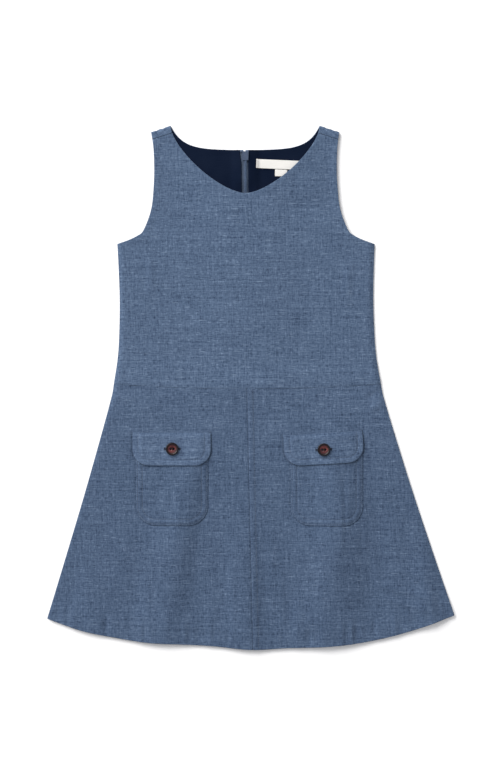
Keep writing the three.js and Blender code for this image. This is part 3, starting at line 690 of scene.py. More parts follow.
def waist_painted_light(u, v):
    """Painted light: just above the waist seam the cloth is painted a little paler, mostly on the left,
    where the light falls more strongly.
    """
    above = v - waist_v(u)
    uneven = 0.5 + 0.5 * wobble(u, v, 34, 61.5)
    return 0.3 * (1 - smooth((above - 16) / 16)) * (1 - 0.6 * smooth((u + 10) / 120)) * uneven


def flap_painted_light(patch):
    def tone(x, y):
        """Painted light: a flap is painted paler below its top edge, each flap by its own amount, standing
        in for the light on it.
        """
        return patch["pale"] + 0.24 * smooth((-y - 2) / 14) + 0.08 * wobble(x, y, 22, 65.5)
    return tone


def skirt_painted_light(u, v):
    """Painted light: the skirt is painted a little paler just below the waist, where the light falls more
    strongly.
    """
    below = waist_v(u) - v
    return 0.26 * (1 - smooth((below - 10) / 100)) * (0.8 + 0.4 * wobble(u, v, 40, 63.5))


def hem_pucker(u, to_hem):
    """Short narrow dips where the hem was eased in, at uneven places."""
    narrow = np.minimum(0, wobble(u, 0 * u, 7.5, 17.5) + 0.12)
    wide = np.minimum(0, wobble(u + 0.15 * to_hem, 0 * u, 15, 19.5))
    near = np.exp(-(((to_hem - HEM_PUCKER_AT) / HEM_PUCKER_REACH) ** 2))
    return HEM_PUCKER * (narrow + wide) * near


def skirt_front_form(points, depth):
    u, v = points.T
    top = front_top(u, v) - edge_drop(u, v)
    to_hem = (1 - down_of(u, v)) * SKIRT_LENGTH
    top = top - HEM_EASE * (1 - smooth(to_hem / HEM_EASE_FADE)) * np.maximum(top - HEM_REST, 0)
    top = top + HEM_LIFT * (1 - smooth(to_hem / HEM_LIFT_FADE))
    below = waist_v(u) - v
    from_seam = u - seam_u(v)
    seam = ripple(u, below, 12.5) + ripple(v, np.abs(from_seam), 13.5, 0.25, 11, 7)
    seam = seam + BELOW_WAIST * np.exp(-below / BELOW_WAIST_FADE)
    seam = seam - CENTRE_DIP * (1 - smooth(np.abs(from_seam) / CENTRE_DIP_FADE))
    right_of_seam = smooth((from_seam + 0.2) / 0.2) * (1 - smooth((from_seam - TOPSTITCH) / 1.5))
    pressed = CENTRE_PRESSED * right_of_seam
    hem = HEM_TURNED * (1 - smooth((to_hem - HEM_DEPTH) / 3)) + hem_pucker(u, to_hem)
    return upright(u, v, top + seam + pressed + hem - SHOWN_CLOTH / 2)


def skirt_back_form(points, depth):
    u, v = points.T
    z = SHOWN_CLOTH / 2 + back_relief(u, v) * smooth(depth / BACK_FREE)
    middle, normal = upright(u, v, z)
    return middle, -normal


def patch_form(patch, rise):
    """The skirt's own face under a patch, with the patch's rise above it."""
    def form(points, depth):
        x, y = placed(patch, points)
        u, v = unlaid(x, y)
        return facing_up(x, y, front_top(u, v) + rise(points, depth, u, v))
    return form


def pocket_rise(points, depth, u, v):
    """Middle of the pocket's wall above the skirt: sewn down round its edge, open at the top."""
    sewn = smooth(depth / 3.5)
    mouth = smooth((points[:, 1] + 14) / 14)
    puff = POCKET_PUFF * smooth((depth - 8) / 24)
    band = POCKET_BAND * np.sin(math.pi * np.clip(depth / POCKET_ROW, 0, 1))
    hem = POCKET_HEM * smooth((points[:, 1] + 24) / 2)
    low = POCKET_BASE + POCKET_SEWN * np.maximum(sewn, mouth)
    return low + puff + band + hem + 0.1 * wobble(u, v, 9, 21.5)


def flap_rise(patch):
    def rise(points, depth, u, v):
        """Middle of the flap's wall: sewn at its top edge, over the pocket, its corners a little raised."""
        x, y = points.T
        out = x / (patch["width"] / 2)
        ramp = smooth((down_of(u, v) - FLAP_RAMP_DOWN) / FLAP_RAMP_LENGTH)
        sewn = smooth(-y / 8)
        corner = smooth((np.abs(out) - 0.55) / 0.45) * smooth((-y - 12) / 24)
        curl = (1 - smooth((depth - 1) / 7)) * smooth((out - 0.5) / 0.5) * smooth(-y / 16)
        lifted = 0.15 * corner + patch["curl"] * curl + 0.1 * smooth((-y - 10) / 26)
        band = FLAP_BAND * np.sin(math.pi * np.clip(depth / TOPSTITCH, 0, 1)) * smooth(-y / 5)
        ends = 0.5 * smooth((np.abs(out) - 0.8) / 0.14)
        low = FLAP_BASE + (FLAP_ENDS * ends + FLAP_SEWN * sewn * (1 - 0.5 * ends))
        over = FLAP_OVER_POCKET - FLAP_DROOP * smooth((np.abs(x) - POCKET_HALF + 9) / 11)
        return low + over * ramp + lifted + band + 0.1 * sewn * wobble(u, v, 12, 31.5)
    return rise


class BackWrap:
    """Form of half of the bodice back, whose strap turns over the shoulder.

    Its cut lies on the surface as far as the fold. Past that it is drawn on straight, round the turn
    and then down the front, so that the cut is one flat piece.
    """

    OUTER = 2.0
    MIDDLE = OUTER - SHOWN_CLOTH / 2

    def __init__(self, side):
        self.side = side
        start = np.array(laid(side * NECK_POINT[0], NECK_POINT[1]))
        end = np.array(laid(side * SHOULDER_POINT[0], SHOULDER_POINT[1]))
        run = (end - start) / np.linalg.norm(end - start)
        self.start = start
        self.out = np.array([-run[1], run[0]]) * (1 if side > 0 else -1)
        self.turn = math.pi * self.MIDDLE

    def beyond(self, points):
        return (points - self.start) @ self.out

    def to_cut(self, uv, front):
        """Places in the cut of points of the back, or of the strap's front."""
        at = np.stack(laid(*np.asarray(uv, float).T), 1)
        if not front:
            return at
        under = -self.beyond(at) - self.OUTER
        return at + np.outer(under + self.turn - self.OUTER - self.beyond(at), self.out)

    def form(self, points, depth):
        past = self.beyond(points) + self.OUTER
        base = points - np.outer(np.maximum(past, 0), self.out)
        angle = np.clip(past / self.MIDDLE, 0, math.pi)
        over = np.maximum(past - self.turn, 0)
        place = base + np.outer(self.MIDDLE * np.sin(angle) - over, self.out)
        u, v = unlaid(*place.T)
        free = smooth(depth / BACK_FREE)
        flat_z = SHOWN_CLOTH / 2 + lift(u, v) + back_relief(u, v) * free * smooth(-past / BACK_FREE)
        front_z = front_top(u, v) - SHOWN_CLOTH / 2 + STRAP_OVER_FRONT
        turn_z = SHOWN_CLOTH / 2 + self.MIDDLE * (1 - np.cos(angle))
        blend = smooth(over / STRAP_BLEND)
        z = np.where(past < 0, flat_z, np.where(over > 0, turn_z + blend * (front_z - turn_z), turn_z))
        tilt = np.outer(np.sin(angle), self.out)
        normal = np.column_stack([tilt, -np.cos(angle)])
        return np.column_stack([place, z]), normal

    def runs(self):
        side = self.side
        flip = np.array([side, 1])
        edge = self.OUTER + 0.1
        bottom = waist_line(GAP / 6, WAIST_HALF, GAP / 4)
        side_seam = bodice_side()
        arm_back = clip_run(armhole(), above_shoulder(edge))[::-1]
        arm_front, neck_front = (
            run[(above_shoulder(edge)(run) < 0) & (above_shoulder(SEAM_DROP)(run) > 0)]
            for run in (armhole(0, 700), neckline(FRONT_NECK, 0, 700))
        )
        neck_back = clip_run(neckline(BACK_NECK), above_shoulder(edge))
        centre = [[GAP / 6, neck_back[0][1]], [GAP / 6, waist_v(0) + GAP / 4]]
        neck_back = neck_back[neck_back[:, 0] > GAP / 6 + 0.3]
        lying = (bottom, side_seam, arm_back, neck_back, centre)
        back = [self.to_cut(np.array(run) * flip, False) for run in lying]
        arm_over = self.to_cut(arm_front * flip, True)
        neck_over = self.to_cut(neck_front[::-1] * flip, True)
        arm = np.concatenate([back[2], arm_over])
        neck = np.concatenate([neck_over[::-1], back[3][::-1]])
        runs = [back[0], back[1], arm, [arm[-1], neck[0]], neck, back[4]]
        if side < 0:
            runs = [np.asarray(run)[::-1] for run in runs[::-1]]
        return join(*runs)


def over_tape(u):
    return (TAPE + GAP) * (1 - smooth((np.abs(u) - TAPE_STEP_AT) / TAPE_STEP))


def lining_top(u, v):
    return CLOTH + GAP + over_tape(u) + LINING + lift(u, v)


def lining_form(points, depth):
    u, v = points.T
    swell = 0.25 * wobble(u, v, 26, 41.5) * smooth(depth / 8)
    edge = 0.15 * (1 - smooth((depth - 3) / 2))
    return upright(u, v, lining_top(u, v) + swell + edge - SHOWN_LINING / 2)


def tape_form(points, depth):
    u, v = points.T
    return upright(u, v, CLOTH + GAP + TAPE + lift(u, v) - SHOWN_TAPE / 2)


def lining_runs(side):
    """From the zip out to the side. The edge beside the zip gives way to the slider."""
    edge, low, flare = LINING_EDGE[side], LINING_LOW_V, LINING_FLARE[side]
    arm = clip_run(armhole(LINING_ARM_IN), above_shoulder(LINING_SHOULDER_IN))[::-1]
    arm = arm[arm[:, 0] < LINING_HALF]
    neck = clip_run(neckline(BACK_NECK, LINING_NECK_IN), above_shoulder(LINING_SHOULDER_IN))
    neck = neck[neck[:, 0] > edge + flare]
    rows = np.linspace(neck[0][1], low, 90)
    zip_edge = np.stack([edge + flare * smooth((rows - FLARE_FROM_V) / FLARE_FADE), rows], 1)
    corner = [LINING_HALF, low]
    runs = join([[edge, low], corner], [corner, [LINING_HALF, arm[0][1]]], arm, [arm[-1], neck[-1]],
                neck[::-1], zip_edge)
    return runs if side > 0 else [mirrored(run) for run in runs[::-1]]


def closed(corners):
    return [[a, b] for a, b in zip(corners, corners[1:] + corners[:1])]


def tape_runs(side):
    low, high, inner, outer = ZIP_BOTTOM_V, ZIP_TOP_V - 1.2, 0.1, TAPE_HALF
    runs = closed([(inner, low), (outer, low), (outer, high), (inner, high)])
    return runs if side > 0 else [mirrored(run) for run in runs[::-1]]


def label_runs(label):
    w, h = label["width"], label["height"]
    return closed([(0, -h), (w, -h), (w, 0), (0, 0)])


def label_form(label, rise):
    def form(points, depth):
        x, y = placed(label, points)
        u, v = unlaid(x, y)
        from_end = np.minimum(points[:, 0], label["width"] - points[:, 0])
        folded = LABEL_FOLD * (1 - smooth((from_end - 4) / 1.5))
        curl = LABEL_CURL * wobble(x, y, 14, 51.5) * smooth(depth / 2)
        return facing_up(x, y, lining_top(u, v) + GAP + SHOWN_LABEL / 2 + rise + folded + curl)
    return form


# Materials

LIGHT = 1.65


class Nodes:
    """Short forms for building a material's node tree."""

    def __init__(self, name, roughness, specular=0.3, sheen=0.0, metallic=0.0, coat=0.0):
        self.material = bpy.data.materials.new(name)
        self.material.use_nodes = True
        self.tree = self.material.node_tree
        self.shader = self.tree.nodes["Principled BSDF"]
        values = {"Roughness": roughness, "Specular IOR Level": specular, "Sheen Weight": sheen,
                  "Metallic": metallic, "Coat Weight": coat}
        for socket, value in values.items():
            self.shader.inputs[socket].default_value = value

    def add(self, kind, inputs=(), **settings):
        node = self.tree.nodes.new("ShaderNode" + kind)
        for key, value in settings.items():
            setattr(node, key, value)
        for socket, value in dict(inputs).items():
            if isinstance(value, bpy.types.NodeSocket):
                self.tree.links.new(value, node.inputs[socket])
            else:
                node.inputs[socket].default_value = value
        return node

    def cut(self):
        return self.add("Attribute", attribute_name="cut").outputs["Vector"]

    def place(self):
        return self.add("TexCoord").outputs["Object"]

    def scaled(self, vector, scale, move=(0, 0, 0)):
        return self.add("Mapping", {"Vector": vector, "Scale": scale, "Location": move}).outputs[0]

    def noise(self, vector, scale, detail=2.0, rough=0.5, move=(0, 0, 0)):
        """Noise whose features are 1/scale metres long on each axis."""
        vector = self.scaled(vector, scale, move)
        inputs = {"Vector": vector, "Scale": 1.0, "Detail": detail, "Roughness": rough}
        return self.add("TexNoise", inputs).outputs[0]

    def wave(self, vector, direction, period, warp=0.0):
        """Bands of one period in metres."""
        inputs = {"Vector": vector, "Scale": 2 * math.pi / 20 / period, "Distortion": warp, "Detail": 1.0}
        return self.add("TexWave", inputs, bands_direction=direction).outputs[1]

    def math(self, operation, a, b=0.0):
        return self.add("Math", {0: a, 1: b}, operation=operation).outputs[0]

    def mix(self, factor, a, b, blend="MIX"):
        return self.add("Mix", {0: factor, 6: a, 7: b}, data_type="RGBA", blend_type=blend).outputs[2]

    def ramp(self, factor, stops):
        node = self.add("ValToRGB", {0: factor})
        elements = node.color_ramp.elements
        while len(elements) < len(stops):
            elements.new(0.5)
        for element, (place, colour) in zip(elements, stops):
            element.position = place
            element.color = (*colour, 1)
        return node.outputs[0]

    def colour(self, socket):
        self.tree.links.new(socket, self.shader.inputs["Base Color"])

    def bump(self, height, depth, strength=1.0):
        node = self.add("Bump", {"Height": height, "Distance": depth, "Strength": strength})
        self.tree.links.new(node.outputs[0], self.shader.inputs["Normal"])


def linear(red, green, blue):
    """A colour given in 8-bit sRGB."""
    def one(value):
        value /= 255
        return value / 12.92 if value <= 0.04045 else ((value + 0.055) / 1.055) ** 2.4
    return one(red), one(green), one(blue)


def seen(red, green, blue, tint=(1, 1, 1)):
    """The surface colour that shows as this one in the studio light."""
    return tuple(c / LIGHT for c in linear(red * tint[0], green * tint[1], blue * tint[2]))


def chambray(name, tint):
    """Slubby plain weave: pale weft and indigo warp yarns of uneven thickness. The tint is per channel."""
    n = Nodes(name, roughness=0.9, specular=0.12, sheen=0.05)
    at = n.cut()
    yarns = n.math("MULTIPLY", n.wave(at, "X", 0.00052, 0.6), n.wave(at, "Y", 0.00058, 0.6))
    total = n.math("MULTIPLY", n.noise(at, (190, 760, 10), 1.0), 0.22)
    for share, part in (
        (0.20, n.noise(at, (780, 200, 10), 1.0, 0.5, (3, 7, 1))),
        (0.20, n.noise(at, (20, 450, 10), 2.0, 0.6, (11, 2, 4))),
        (0.17, n.noise(at, (430, 30, 10), 2.0, 0.6, (1, 13, 6))),
        (0.04, n.noise(at, (36, 36, 10), 2.0, 0.6, (5, 5, 2))),
    ):
        total = n.math("ADD", total, n.math("MULTIPLY", part, share))
    body = n.ramp(total, [
        (0.30, seen(50, 65, 90, tint)),
        (0.39, seen(80, 98, 124, tint)),
        (0.47, seen(98, 116, 142, tint)),
        (0.57, seen(138, 156, 182, tint)),
    ])
    slub_share = [(0.66, (0, 0, 0)), (0.74, (1, 1, 1))]
    pale_slub = n.ramp(n.noise(at, (70, 720, 10), 1.0, 0.5, (9, 1, 8)), slub_share)
    dark_slub = n.ramp(n.noise(at, (760, 90, 10), 1.0, 0.5, (2, 4, 9)), slub_share)
    body = n.mix(n.math("MULTIPLY", pale_slub, 0.45), body, (*seen(150, 168, 192, tint), 1))
    body = n.mix(n.math("MULTIPLY", dark_slub, 0.45), body, (*seen(46, 60, 88, tint), 1))
    # Painted light: a per-point value from the piece makes the cloth up to half again as pale, where light
    # falls more strongly.
    pressed = n.add("Attribute", attribute_name="tone").outputs["Fac"]
    body = n.mix(pressed, body, (1.5, 1.45, 1.4, 1), "MULTIPLY")
    n.colour(body)
    relief = n.math("ADD", n.math("MULTIPLY", total, 1.6), n.math("MULTIPLY", yarns, 0.5))
    n.bump(relief, 0.00025, 0.8)
    return n.material


def lining_weave():
    """Smooth, dense navy cotton."""
    n = Nodes("lining_poplin", roughness=0.9, specular=0.03, sheen=0.0)
    at = n.cut()
    yarns = n.math("MULTIPLY", n.wave(at, "X", 0.0004, 0.4), n.wave(at, "Y", 0.00044, 0.4))
    streak = n.noise(at, (90, 1500, 10), 2.0, 0.6)
    cloud = n.noise(at, (22, 22, 10), 2.0, 0.6, (4, 1, 2))
    total = n.math("ADD", n.math("MULTIPLY", cloud, 0.6), n.math("MULTIPLY", streak, 0.4))
    n.colour(n.ramp(total, [(0.35, seen(11, 22, 43)), (0.65, seen(20, 30, 50))]))
    n.bump(yarns, 0.0001, 0.5)
    return n.material


def zip_tape_material():
    """Woven tape with lengthwise ribs and a fine herringbone."""
    n = Nodes("zip_tape_weave", roughness=0.75, specular=0.15, sheen=0.05)
    at = n.cut()
    ribs = n.wave(at, "X", 0.0016, 0.3)
    picks = n.wave(at, "Y", 0.0007, 1.2)
    body = n.ramp(n.math("MULTIPLY", n.math("ADD", ribs, picks), 0.5),
                  [(0.1, seen(60, 74, 96)), (0.9, seen(92, 106, 128))])
    n.colour(body)
    n.bump(n.math("ADD", ribs, n.math("MULTIPLY", picks, 0.5)), 0.00012, 0.8)
    return n.material


def flecked(name, grain, dark, pale, bump, **look):
    """Flecks of two colours, finer than a millimetre or two, and a bump that follows them.

    grain is the flecks' scale, detail and roughness, dark and pale are places on it with a colour.
    """
    n = Nodes(name, **look)
    scale, detail, rough = grain
    fleck = n.noise(n.place(), (scale, scale, scale), detail, rough)
    n.colour(n.ramp(fleck, [(place, seen(*colour)) for place, colour in (dark, pale)]))
    n.bump(fleck, *bump)
    return n.material


def thread(colour, dark, pale):
    """Twisted thread, with fine flecks along each stitch."""
    return flecked(f"thread_{colour}", (1400, 2.0, 0.6), (0.35, dark), (0.65, pale), (0.00006, 0.7),
                   roughness=0.7, specular=0.2, sheen=0.05)


def label_material():
    """Cream satin tape, woven in fine ribs, with nothing on it."""
    n = Nodes("label_satin", roughness=0.6, specular=0.15, sheen=0.05)
    at = n.cut()
    ribs = n.wave(at, "Y", 0.00045, 0.5)
    streak = n.noise(at, (60, 1400, 10), 2.0, 0.6)
    total = n.math("ADD", n.math("MULTIPLY", ribs, 0.35), n.math("MULTIPLY", streak, 0.65))
    n.colour(n.ramp(total, [(0.25, seen(238, 236, 231)), (0.7, seen(250, 248, 245))]))
    n.bump(ribs, 0.00008, 0.6)
    return n.material


def button_material():
    """Horn-like brown: warped bands and flecks under a gloss, with painted shade darkening it round the rim.
    """
    n = Nodes("button_horn", roughness=0.45, specular=0.2, coat=0.03)
    at = n.place()
    warped = n.noise(at, (90, 260, 120), 4.0, 0.6)
    fleck = n.noise(at, (900, 900, 900), 2.0, 0.5)
    body = n.ramp(warped, [(0.3, seen(44, 20, 25)), (0.5, seen(90, 43, 47)), (0.7, seen(126, 66, 62))])
    body = n.mix(n.math("MULTIPLY", fleck, 0.25), body, (*seen(60, 26, 24), 1))
    # Painted shade: the rim is darkened nearly to black.
    rim = n.add("Attribute", attribute_name="rim").outputs["Fac"]
    body = n.mix(n.math("MULTIPLY", rim, 0.97), body, (*seen(16, 9, 14), 1))
    n.colour(body)
    n.bump(fleck, 0.00002, 0.3)
    return n.material


def floor_material():
    n = Nodes("pale_floor", roughness=0.9, specular=0.1)
    cloud = n.noise(n.place(), (6, 6, 6), 3.0, 0.5)
    n.colour(n.ramp(cloud, [(0.3, (0.78, 0.78, 0.785)), (0.7, (0.8, 0.8, 0.805))]))
    return n.material


def wear(obj, material):
    obj.data.materials.clear()
    obj.data.materials.append(material)
    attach(obj, "dress")
    return obj


def show(cloth, material, stitches=None, sewn_with=None, rows=()):
    """Puts a piece in the place of its solid and sews it.

    The solid has the piece's name without its last word. Rows given here are sewn without drawing the cloth
    in.
    """
    wear(cloth.obj, material)
    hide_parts(cloth.name.rsplit("_", 1)[0])
    sewn = [wear(stitch(stitches, cloth, rows or cloth.rows), sewn_with)] if stitches else []


# The dress

bodice_cloth = chambray("chambray_bodice", (0.985, 1.005, 1.02))
skirt_cloth = chambray("chambray_skirt", (0.92, 0.945, 0.97))
lining_cloth = lining_weave()
tape_cloth = zip_tape_material()
blue_thread = thread("blue", (66, 82, 108), (112, 128, 152))
navy_thread = thread("navy", (20, 28, 46), (42, 54, 78))
cream_thread = thread("cream", (230, 225, 217), (246, 243, 237))
brown_thread = thread("brown", (12, 7, 9), (32, 19, 20))
coil_nylon = flecked("coil_nylon", (700, 2.0, 0.5), (0.3, (82, 101, 131)), (0.7, (107, 127, 158)),
                     (0.00003, 0.5), roughness=0.6, specular=0.1)
slider_paint = flecked("slider_paint", (900, 3.0, 0.6), (0.3, (63, 78, 104)), (0.7, (83, 98, 124)),
                       (0.00002, 0.4), roughness=0.4, specular=0.3, metallic=0.2, coat=0.1)
horn = button_material()
satin = label_material()

# Where the weave begins on each piece, so that no two pieces are alike
WEAVE_AT = {"left": dict(skirt=(17, 5), pocket=(1200, 150), flap=(1350, 700)),
            "right": dict(skirt=(400, 31), pocket=(1200, 420), flap=(1350, 880))}


def make_skirt():
    length_row = np.linspace(waist_v(0) - 1.5, along(HEM, TOPSTITCH) + 1.5, 60)
    row = np.stack([seam_u(length_row) + TOPSTITCH, length_row], 1)
    for side, shares, rows, stitches in (("left", (-1, 0), [], None),
                                         ("right", (0, 1), [row], "stitches_centre_front")):
        drawn = [drawn_round(POCKETS[side], *DRAWN_BY_POCKET), drawn_round(FLAPS[side], *DRAWN_BY_FLAP)]
        cloth = Cloth(f"skirt_front_{side}_cloth", skirt_runs(*shares), skirt_front_form, rows=rows,
                      drawn=drawn, offset=WEAVE_AT[side]["skirt"], tone=skirt_painted_light)
        show(cloth, skirt_cloth, stitches, blue_thread)
    back = Cloth("skirt_back_cloth", skirt_runs(-1, 1, BACK_HEM_SHORT), skirt_back_form, spacing=3.4,
                 offset=(900, 80))
    show(back, skirt_cloth)


def make_bodice():
    front = Cloth("bodice_front_cloth", bodice_front_runs(), bodice_front_form, offset=(150, 700),
                  tone=waist_painted_light)
    show(front, bodice_cloth)
    for side, name in ((-1, "left"), (1, "right")):
        wrap = BackWrap(side)
        back = Cloth(f"bodice_back_{name}_cloth", wrap.runs(), wrap.form, spacing=3.0,
                     offset=(50 * side, 1400))
        show(back, bodice_cloth)
        lining = Cloth(f"lining_back_{name}_cloth", lining_runs(side), lining_form, SHOWN_LINING, 3.2,
                       offset=(70 * side, 2100))
        show(lining, lining_cloth)
        tape = Cloth(f"zip_tape_{name}_cloth", tape_runs(side), tape_form, SHOWN_TAPE, 1.6,
                     offset=(30 * side, 2600))
        show(tape, tape_cloth)


def make_pockets():
    for side in ("left", "right"):
        shape = POCKETS[side]
        rows = [patch_row(shape, EDGE_ROW), patch_row(shape, POCKET_ROW)]
        pocket = Cloth(f"pocket_{side}_cloth", patch_runs(**outline_of(shape)),
                       patch_form(shape, pocket_rise), SHOWN_PATCH, 1.9, rows,
                       offset=WEAVE_AT[side]["pocket"])
        show(pocket, skirt_cloth,
             f"stitches_pocket_{side}", blue_thread)
        shape = FLAPS[side]
        flap = Cloth(f"flap_{side}_cloth", patch_runs(**outline_of(shape)),
                     patch_form(shape, flap_rise(shape)), SHOWN_PATCH, 1.8, [patch_row(shape, TOPSTITCH)],
                     tone=flap_painted_light(shape), offset=WEAVE_AT[side]["flap"])
        show(flap, skirt_cloth, f"stitches_flap_{side}", blue_thread)
        make_button(side, flap, shape)


# Buttons and their holes

BUTTON_RADIUS, HOLE_RADIUS, HOLE_APART = 8.0, 1.45, 3.8
BUTTON_PROFILE = [(6.4, 0.0), (7.1, 0.12), (7.6, 0.55), (7.9, 1.0), (8.0, 1.4), (7.96, 1.8), (7.8, 2.15),
                  (7.5, 2.45), (7.15, 2.6), (6.8, 2.58), (6.4, 2.44), (6.0, 2.2), (5.4, 1.92)]
DISH_FLOOR, BUTTON_SIDES, HOLE_SIDES = 1.3, 56, 20
ABOVE_FLAP, PAINTED_SHADE_FROM, PAINTED_SHADE_FADE = 0.35, 4.7, 1.2
THREADS_AT = (-0.45, -0.15, 0.15, 0.45)
THREAD_BAR = [(-1, -0.9, 0.9), (-0.85, 0.1, 1), (0, 0.32, 1), (0.85, 0.1, 1), (1, -0.9, 0.9)]
BUTTON_THREAD = 0.2
BUTTONHOLE_HALF, BUTTONHOLE_PITCH, BUTTONHOLE_THREAD = 9.3, 0.5, 0.27
LIP_FROM, LIP_TO, BAR_IN, BAR_OUT, BAR_STITCHES = 0.15, 1.5, 0.3, 1.2, 7


def ring_of(count):
    angle = np.arange(count) * 2 * math.pi / count
    return np.stack([np.cos(angle), np.sin(angle)], 1)


def after(i, count):
    """The next point of a ring."""
    return (i + 1) % count


def button_mesh():
    """A turned rim round a flat middle with two holes."""
    around = ring_of(BUTTON_SIDES)
    rings = [np.column_stack([r * around, np.full(BUTTON_SIDES, z)]) for r, z in BUTTON_PROFILE]
    points, faces = list(np.concatenate(rings)), []
    last = len(BUTTON_PROFILE) - 1
    for low in range(0, last * BUTTON_SIDES, BUTTON_SIDES):
        high = low + BUTTON_SIDES
        for i in range(BUTTON_SIDES):
            j = after(i, BUTTON_SIDES)
            faces.append((low + i, low + j, high + j, high + i))
    centres = [np.array([way * HOLE_APART / 2, 0]) for way in (-1, 1)]
    holes = [centre + HOLE_RADIUS * ring_of(HOLE_SIDES) for centre in centres]
    hole_ids = []
    for ring, radius, z in ((0, BUTTON_PROFILE[0][0], 0.0), (last, BUTTON_PROFILE[-1][0], DISH_FLOOR)):
        rim = radius * around
        inner = np.concatenate([radius * share * around[::2] for share in (0.8, 0.6)])
        flat = np.concatenate([rim, *holes, inner])
        edges = []
        base = 0
        for sides in (BUTTON_SIDES, HOLE_SIDES, HOLE_SIDES):
            edges += [(base + i, base + after(i, sides)) for i in range(sides)]
            base += sides
        made = delaunay_2d_cdt([Vector(p) for p in flat], edges, [], 1, 1e-5)
        place = {}
        for i, (p, ids) in enumerate(zip(made[0], made[3])):
            if ids and ids[0] < BUTTON_SIDES:
                place[i] = ring * BUTTON_SIDES + ids[0]
            else:
                place[i] = len(points)
                rise = (BUTTON_PROFILE[-1][1] - DISH_FLOOR) * (p.length / radius) ** 2 if ring else 0
                points.append(np.array([p[0], p[1], z + rise]))
        for triangle in made[2]:
            middle = np.mean([made[0][i][:] for i in triangle], 0)
            if all(np.hypot(*(middle - centre)) > HOLE_RADIUS * 0.98 for centre in centres):
                faces.append(tuple(place[i] for i in triangle))
        by_input = {ids[0]: place[i] for i, ids in enumerate(made[3]) if ids}
        hole_ids.append([by_input[BUTTON_SIDES + i] for i in range(2 * HOLE_SIDES)])
    for base in (0, HOLE_SIDES):
        low, high = (ids[base:base + HOLE_SIDES] for ids in hole_ids)
        for i in range(HOLE_SIDES):
            j = after(i, HOLE_SIDES)
            faces.append((low[i], low[j], high[j], high[i]))
    return np.array(points), faces


def make_button(side, flap, flap_shape):
    x, y = BUTTONS[side]
    angle = math.radians(flap_shape["turn"])
    dx, dy = x - flap_shape["x"], y - flap_shape["y"]
    own = np.array([dx * math.cos(angle) + dy * math.sin(angle),
                    -dx * math.sin(angle) + dy * math.cos(angle)])
    round_it = own + (BUTTON_RADIUS - 1) * ring_of(12)
    seat = flap.surface(round_it)[0][:, 2].max() + ABOVE_FLAP
    points, faces = button_mesh()
    obj = mesh_object(f"button_{side}_horn", points + [x, y, seat], faces)
    # The rim value marks where painted shade darkens the button.
    per_point(obj, "rim", smooth((np.hypot(points[:, 0], points[:, 1]) - PAINTED_SHADE_FROM) / PAINTED_SHADE_FADE))
    wear(obj, horn)
    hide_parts(f"button_{side}")
    starts = np.array([[x - HOLE_APART / 2, y + across, seat + DISH_FLOOR - 0.1] for across in THREADS_AT])
    ends = starts + [HOLE_APART, 0, 0]
    threads = tubes(f"button_thread_{side}", starts, ends, np.tile(UP, (len(starts), 1)), BUTTON_THREAD,
                    THREAD_BAR)
    wear(threads, brown_thread)
    make_buttonhole(side, flap, own)


def make_buttonhole(side, flap, centre):
    """Satin stitches along both lips of a slit, and a bar at each end."""
    count = int(2 * BUTTONHOLE_HALF / BUTTONHOLE_PITCH) + 1
    along_slit = np.linspace(-BUTTONHOLE_HALF, BUTTONHOLE_HALF, count)
    across_end = np.linspace(-LIP_TO, LIP_TO, BAR_STITCHES)
    starts, ends = [], []
    for out, away in ((starts, LIP_FROM), (ends, LIP_TO)):
        out += [(u, way * away) for way in (-1, 1) for u in along_slit]
    for out, away in ((starts, -BAR_IN), (ends, BAR_OUT)):
        out += [(way * (BUTTONHOLE_HALF + away), v) for way in (-1, 1) for v in across_end]
    first, normal = flap.surface(np.array(starts) + centre)
    second, _ = flap.surface(np.array(ends) + centre)
    wear(tubes(f"buttonhole_{side}", first, second, normal, BUTTONHOLE_THREAD), navy_thread)


# Zip

TOOTH_PITCH, TOOTH_FROM, TOOTH_PAST, TOOTH_RADIUS = 1.3, 1.85, 0.35, 0.34
TOOTH_SHAPE = [(-1, 0.1, 0.7), (-0.8, 0.45, 1), (-0.2, 0.62, 1), (0.5, 0.55, 1), (0.85, 0.35, 1),
               (1, 0.1, 0.7)]
COIL_RISE, COIL_ARCH, COIL_ARCH_OVER, COIL_ARCH_FADE = 0.25, 1.2, 12, 11
SLIDER_SOFTENED = 0.18
STOPS_AT, STOP_HALF, STOP_BELOW, STOP_LENGTH, STOP_RADIUS, STOP_RISE = (-4.9, 3.1), 0.45, 2.9, 2.4, 0.55, 0.3
STOP_SHAPE = [(-1, 0, 0.6), (-0.85, 0, 1), (0, 0.05, 1), (0.85, 0, 1), (1, 0, 0.6)]


def make_coil():
    """Teeth of a closed coil: loops from each tape that hook past the middle in turn."""
    v = np.arange(CHAIN_LOW_V, CHAIN_TOP_V, TOOTH_PITCH)
    outside = CHAIN_TOP_V - IN_SLIDER
    starts, ends = [], []
    for side, shift in ((-1, 0), (1, TOOTH_PITCH / 2)):
        for u, out in ((side * TOOTH_FROM, starts), (-side * TOOTH_PAST, ends)):
            place = v + shift
            x, y = laid(np.full(len(v), u), place)
            arch = COIL_ARCH * smooth((place - outside + COIL_ARCH_OVER) / COIL_ARCH_FADE)
            rise = COIL_RISE + np.where(place < outside, arch, 0)
            out.append(np.stack([x, y, CHAIN_BASE + rise + lift(0 * v, place)], 1))
    starts, ends = np.concatenate(starts), np.concatenate(ends)
    coil = tubes("zip_coil_teeth", starts, ends, np.tile(UP, (len(starts), 1)), TOOTH_RADIUS, TOOTH_SHAPE)
    wear(coil, coil_nylon)
    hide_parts("zip_chain")


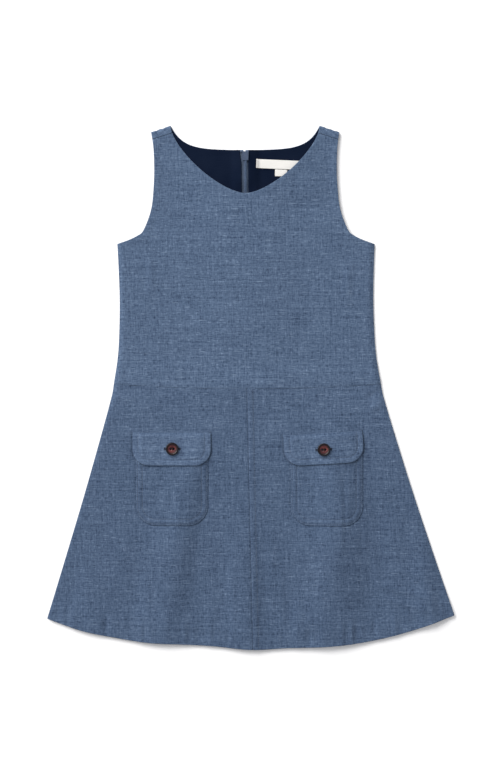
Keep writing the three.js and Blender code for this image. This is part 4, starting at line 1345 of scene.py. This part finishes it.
def make_slider():
    """The slider and its pull keep their solids, with softened edges and paint."""
    for name in ("zip_slider", "zip_pull"):
        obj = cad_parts[name]
        obj.data.materials.clear()
        obj.data.materials.append(slider_paint)
        edge = obj.modifiers.new("soft edges", "BEVEL")
        edge.width, edge.segments, edge.limit_method = SLIDER_SOFTENED * MM, 2, "ANGLE"
    u = np.array([at + way * STOP_HALF for at in STOPS_AT for way in (-1, 1)])
    x, y = laid(u, np.full(len(u), ZIP_TOP_V - STOP_BELOW))
    z = CHAIN_BASE + lift(0 * u, np.full(len(u), ZIP_TOP_V)) + STOP_RISE
    starts = np.column_stack([x, y, z])
    stops = tubes("zip_top_stops", starts, starts + [0, STOP_LENGTH, 0], np.tile(UP, (len(u), 1)),
                  STOP_RADIUS, STOP_SHAPE)
    wear(stops, slider_paint)


def make_labels():
    """The neck label is sewn down near both ends. The size tab is held by its top edge alone."""
    high, wide = NECK_LABEL["height"] - 1.2, NECK_LABEL["width"]
    ends = [[(x, -1.2), (x, -high)] for x in (2.2, wide - 2.2)]
    for name, label, rise, rows, stitches in (("neck_label", NECK_LABEL, 0.35, ends, "stitches_label"),
                                              ("size_tab", SIZE_TAB, 0.0, [], None)):
        cloth = Cloth(f"{name}_satin", label_runs(label), label_form(label, rise), SHOWN_LABEL, 1.3,
                      offset=(2000, 40))
        show(cloth, satin, stitches, cream_thread, rows)


# Floor, light and camera

CAMERA_X, CAMERA_Y, CAMERA_Z = -0.0010, 0.0052, 2.264
LENS, SENSOR = 85.0, 36.0
KEY_PLACE, KEY_SIZE, KEY_POWER = (-3.2, 3.5, 2.7), 4.4, 672.0
KEY_COLOUR, FILL_COLOUR = (1.0, 0.985, 0.965), (0.975, 0.98, 1.0)
FILL_STRENGTH = 0.73
FLOOR_REACH, FLOOR_Z = 6.0, -0.0002


def make_stage():
    mesh = bpy.data.meshes.new("floor")
    corners = [(x * FLOOR_REACH, y * FLOOR_REACH, FLOOR_Z) for x, y in ((-1, -1), (1, -1), (1, 1), (-1, 1))]
    mesh.from_pydata(corners, [], [(0, 1, 2, 3)])
    floor = put("floor", mesh)
    mesh.materials.append(floor_material())

    key = bpy.data.lights.new("key", "AREA")
    key.energy, key.size, key.color = KEY_POWER, KEY_SIZE, KEY_COLOUR
    lamp = put("key", key)
    lamp.location = KEY_PLACE
    lamp.rotation_euler = (-Vector(KEY_PLACE)).to_track_quat("-Z", "Y").to_euler()

    world = bpy.data.worlds.new("studio")
    world.use_nodes = True
    background = world.node_tree.nodes["Background"]
    background.inputs["Color"].default_value = (*FILL_COLOUR, 1)
    background.inputs["Strength"].default_value = FILL_STRENGTH
    bpy.context.scene.world = world
    bpy.context.scene.view_settings.view_transform = "Standard"

    data = bpy.data.cameras.new("camera")
    data.lens, data.sensor_width, data.sensor_fit = LENS, SENSOR, "AUTO"
    camera = put("camera", data)
    camera.location = (CAMERA_X, CAMERA_Y, CAMERA_Z)
    bpy.context.scene.camera = camera


make_stage()
make_skirt()
make_bodice()
make_pockets()
make_coil()
make_slider()
make_labels()
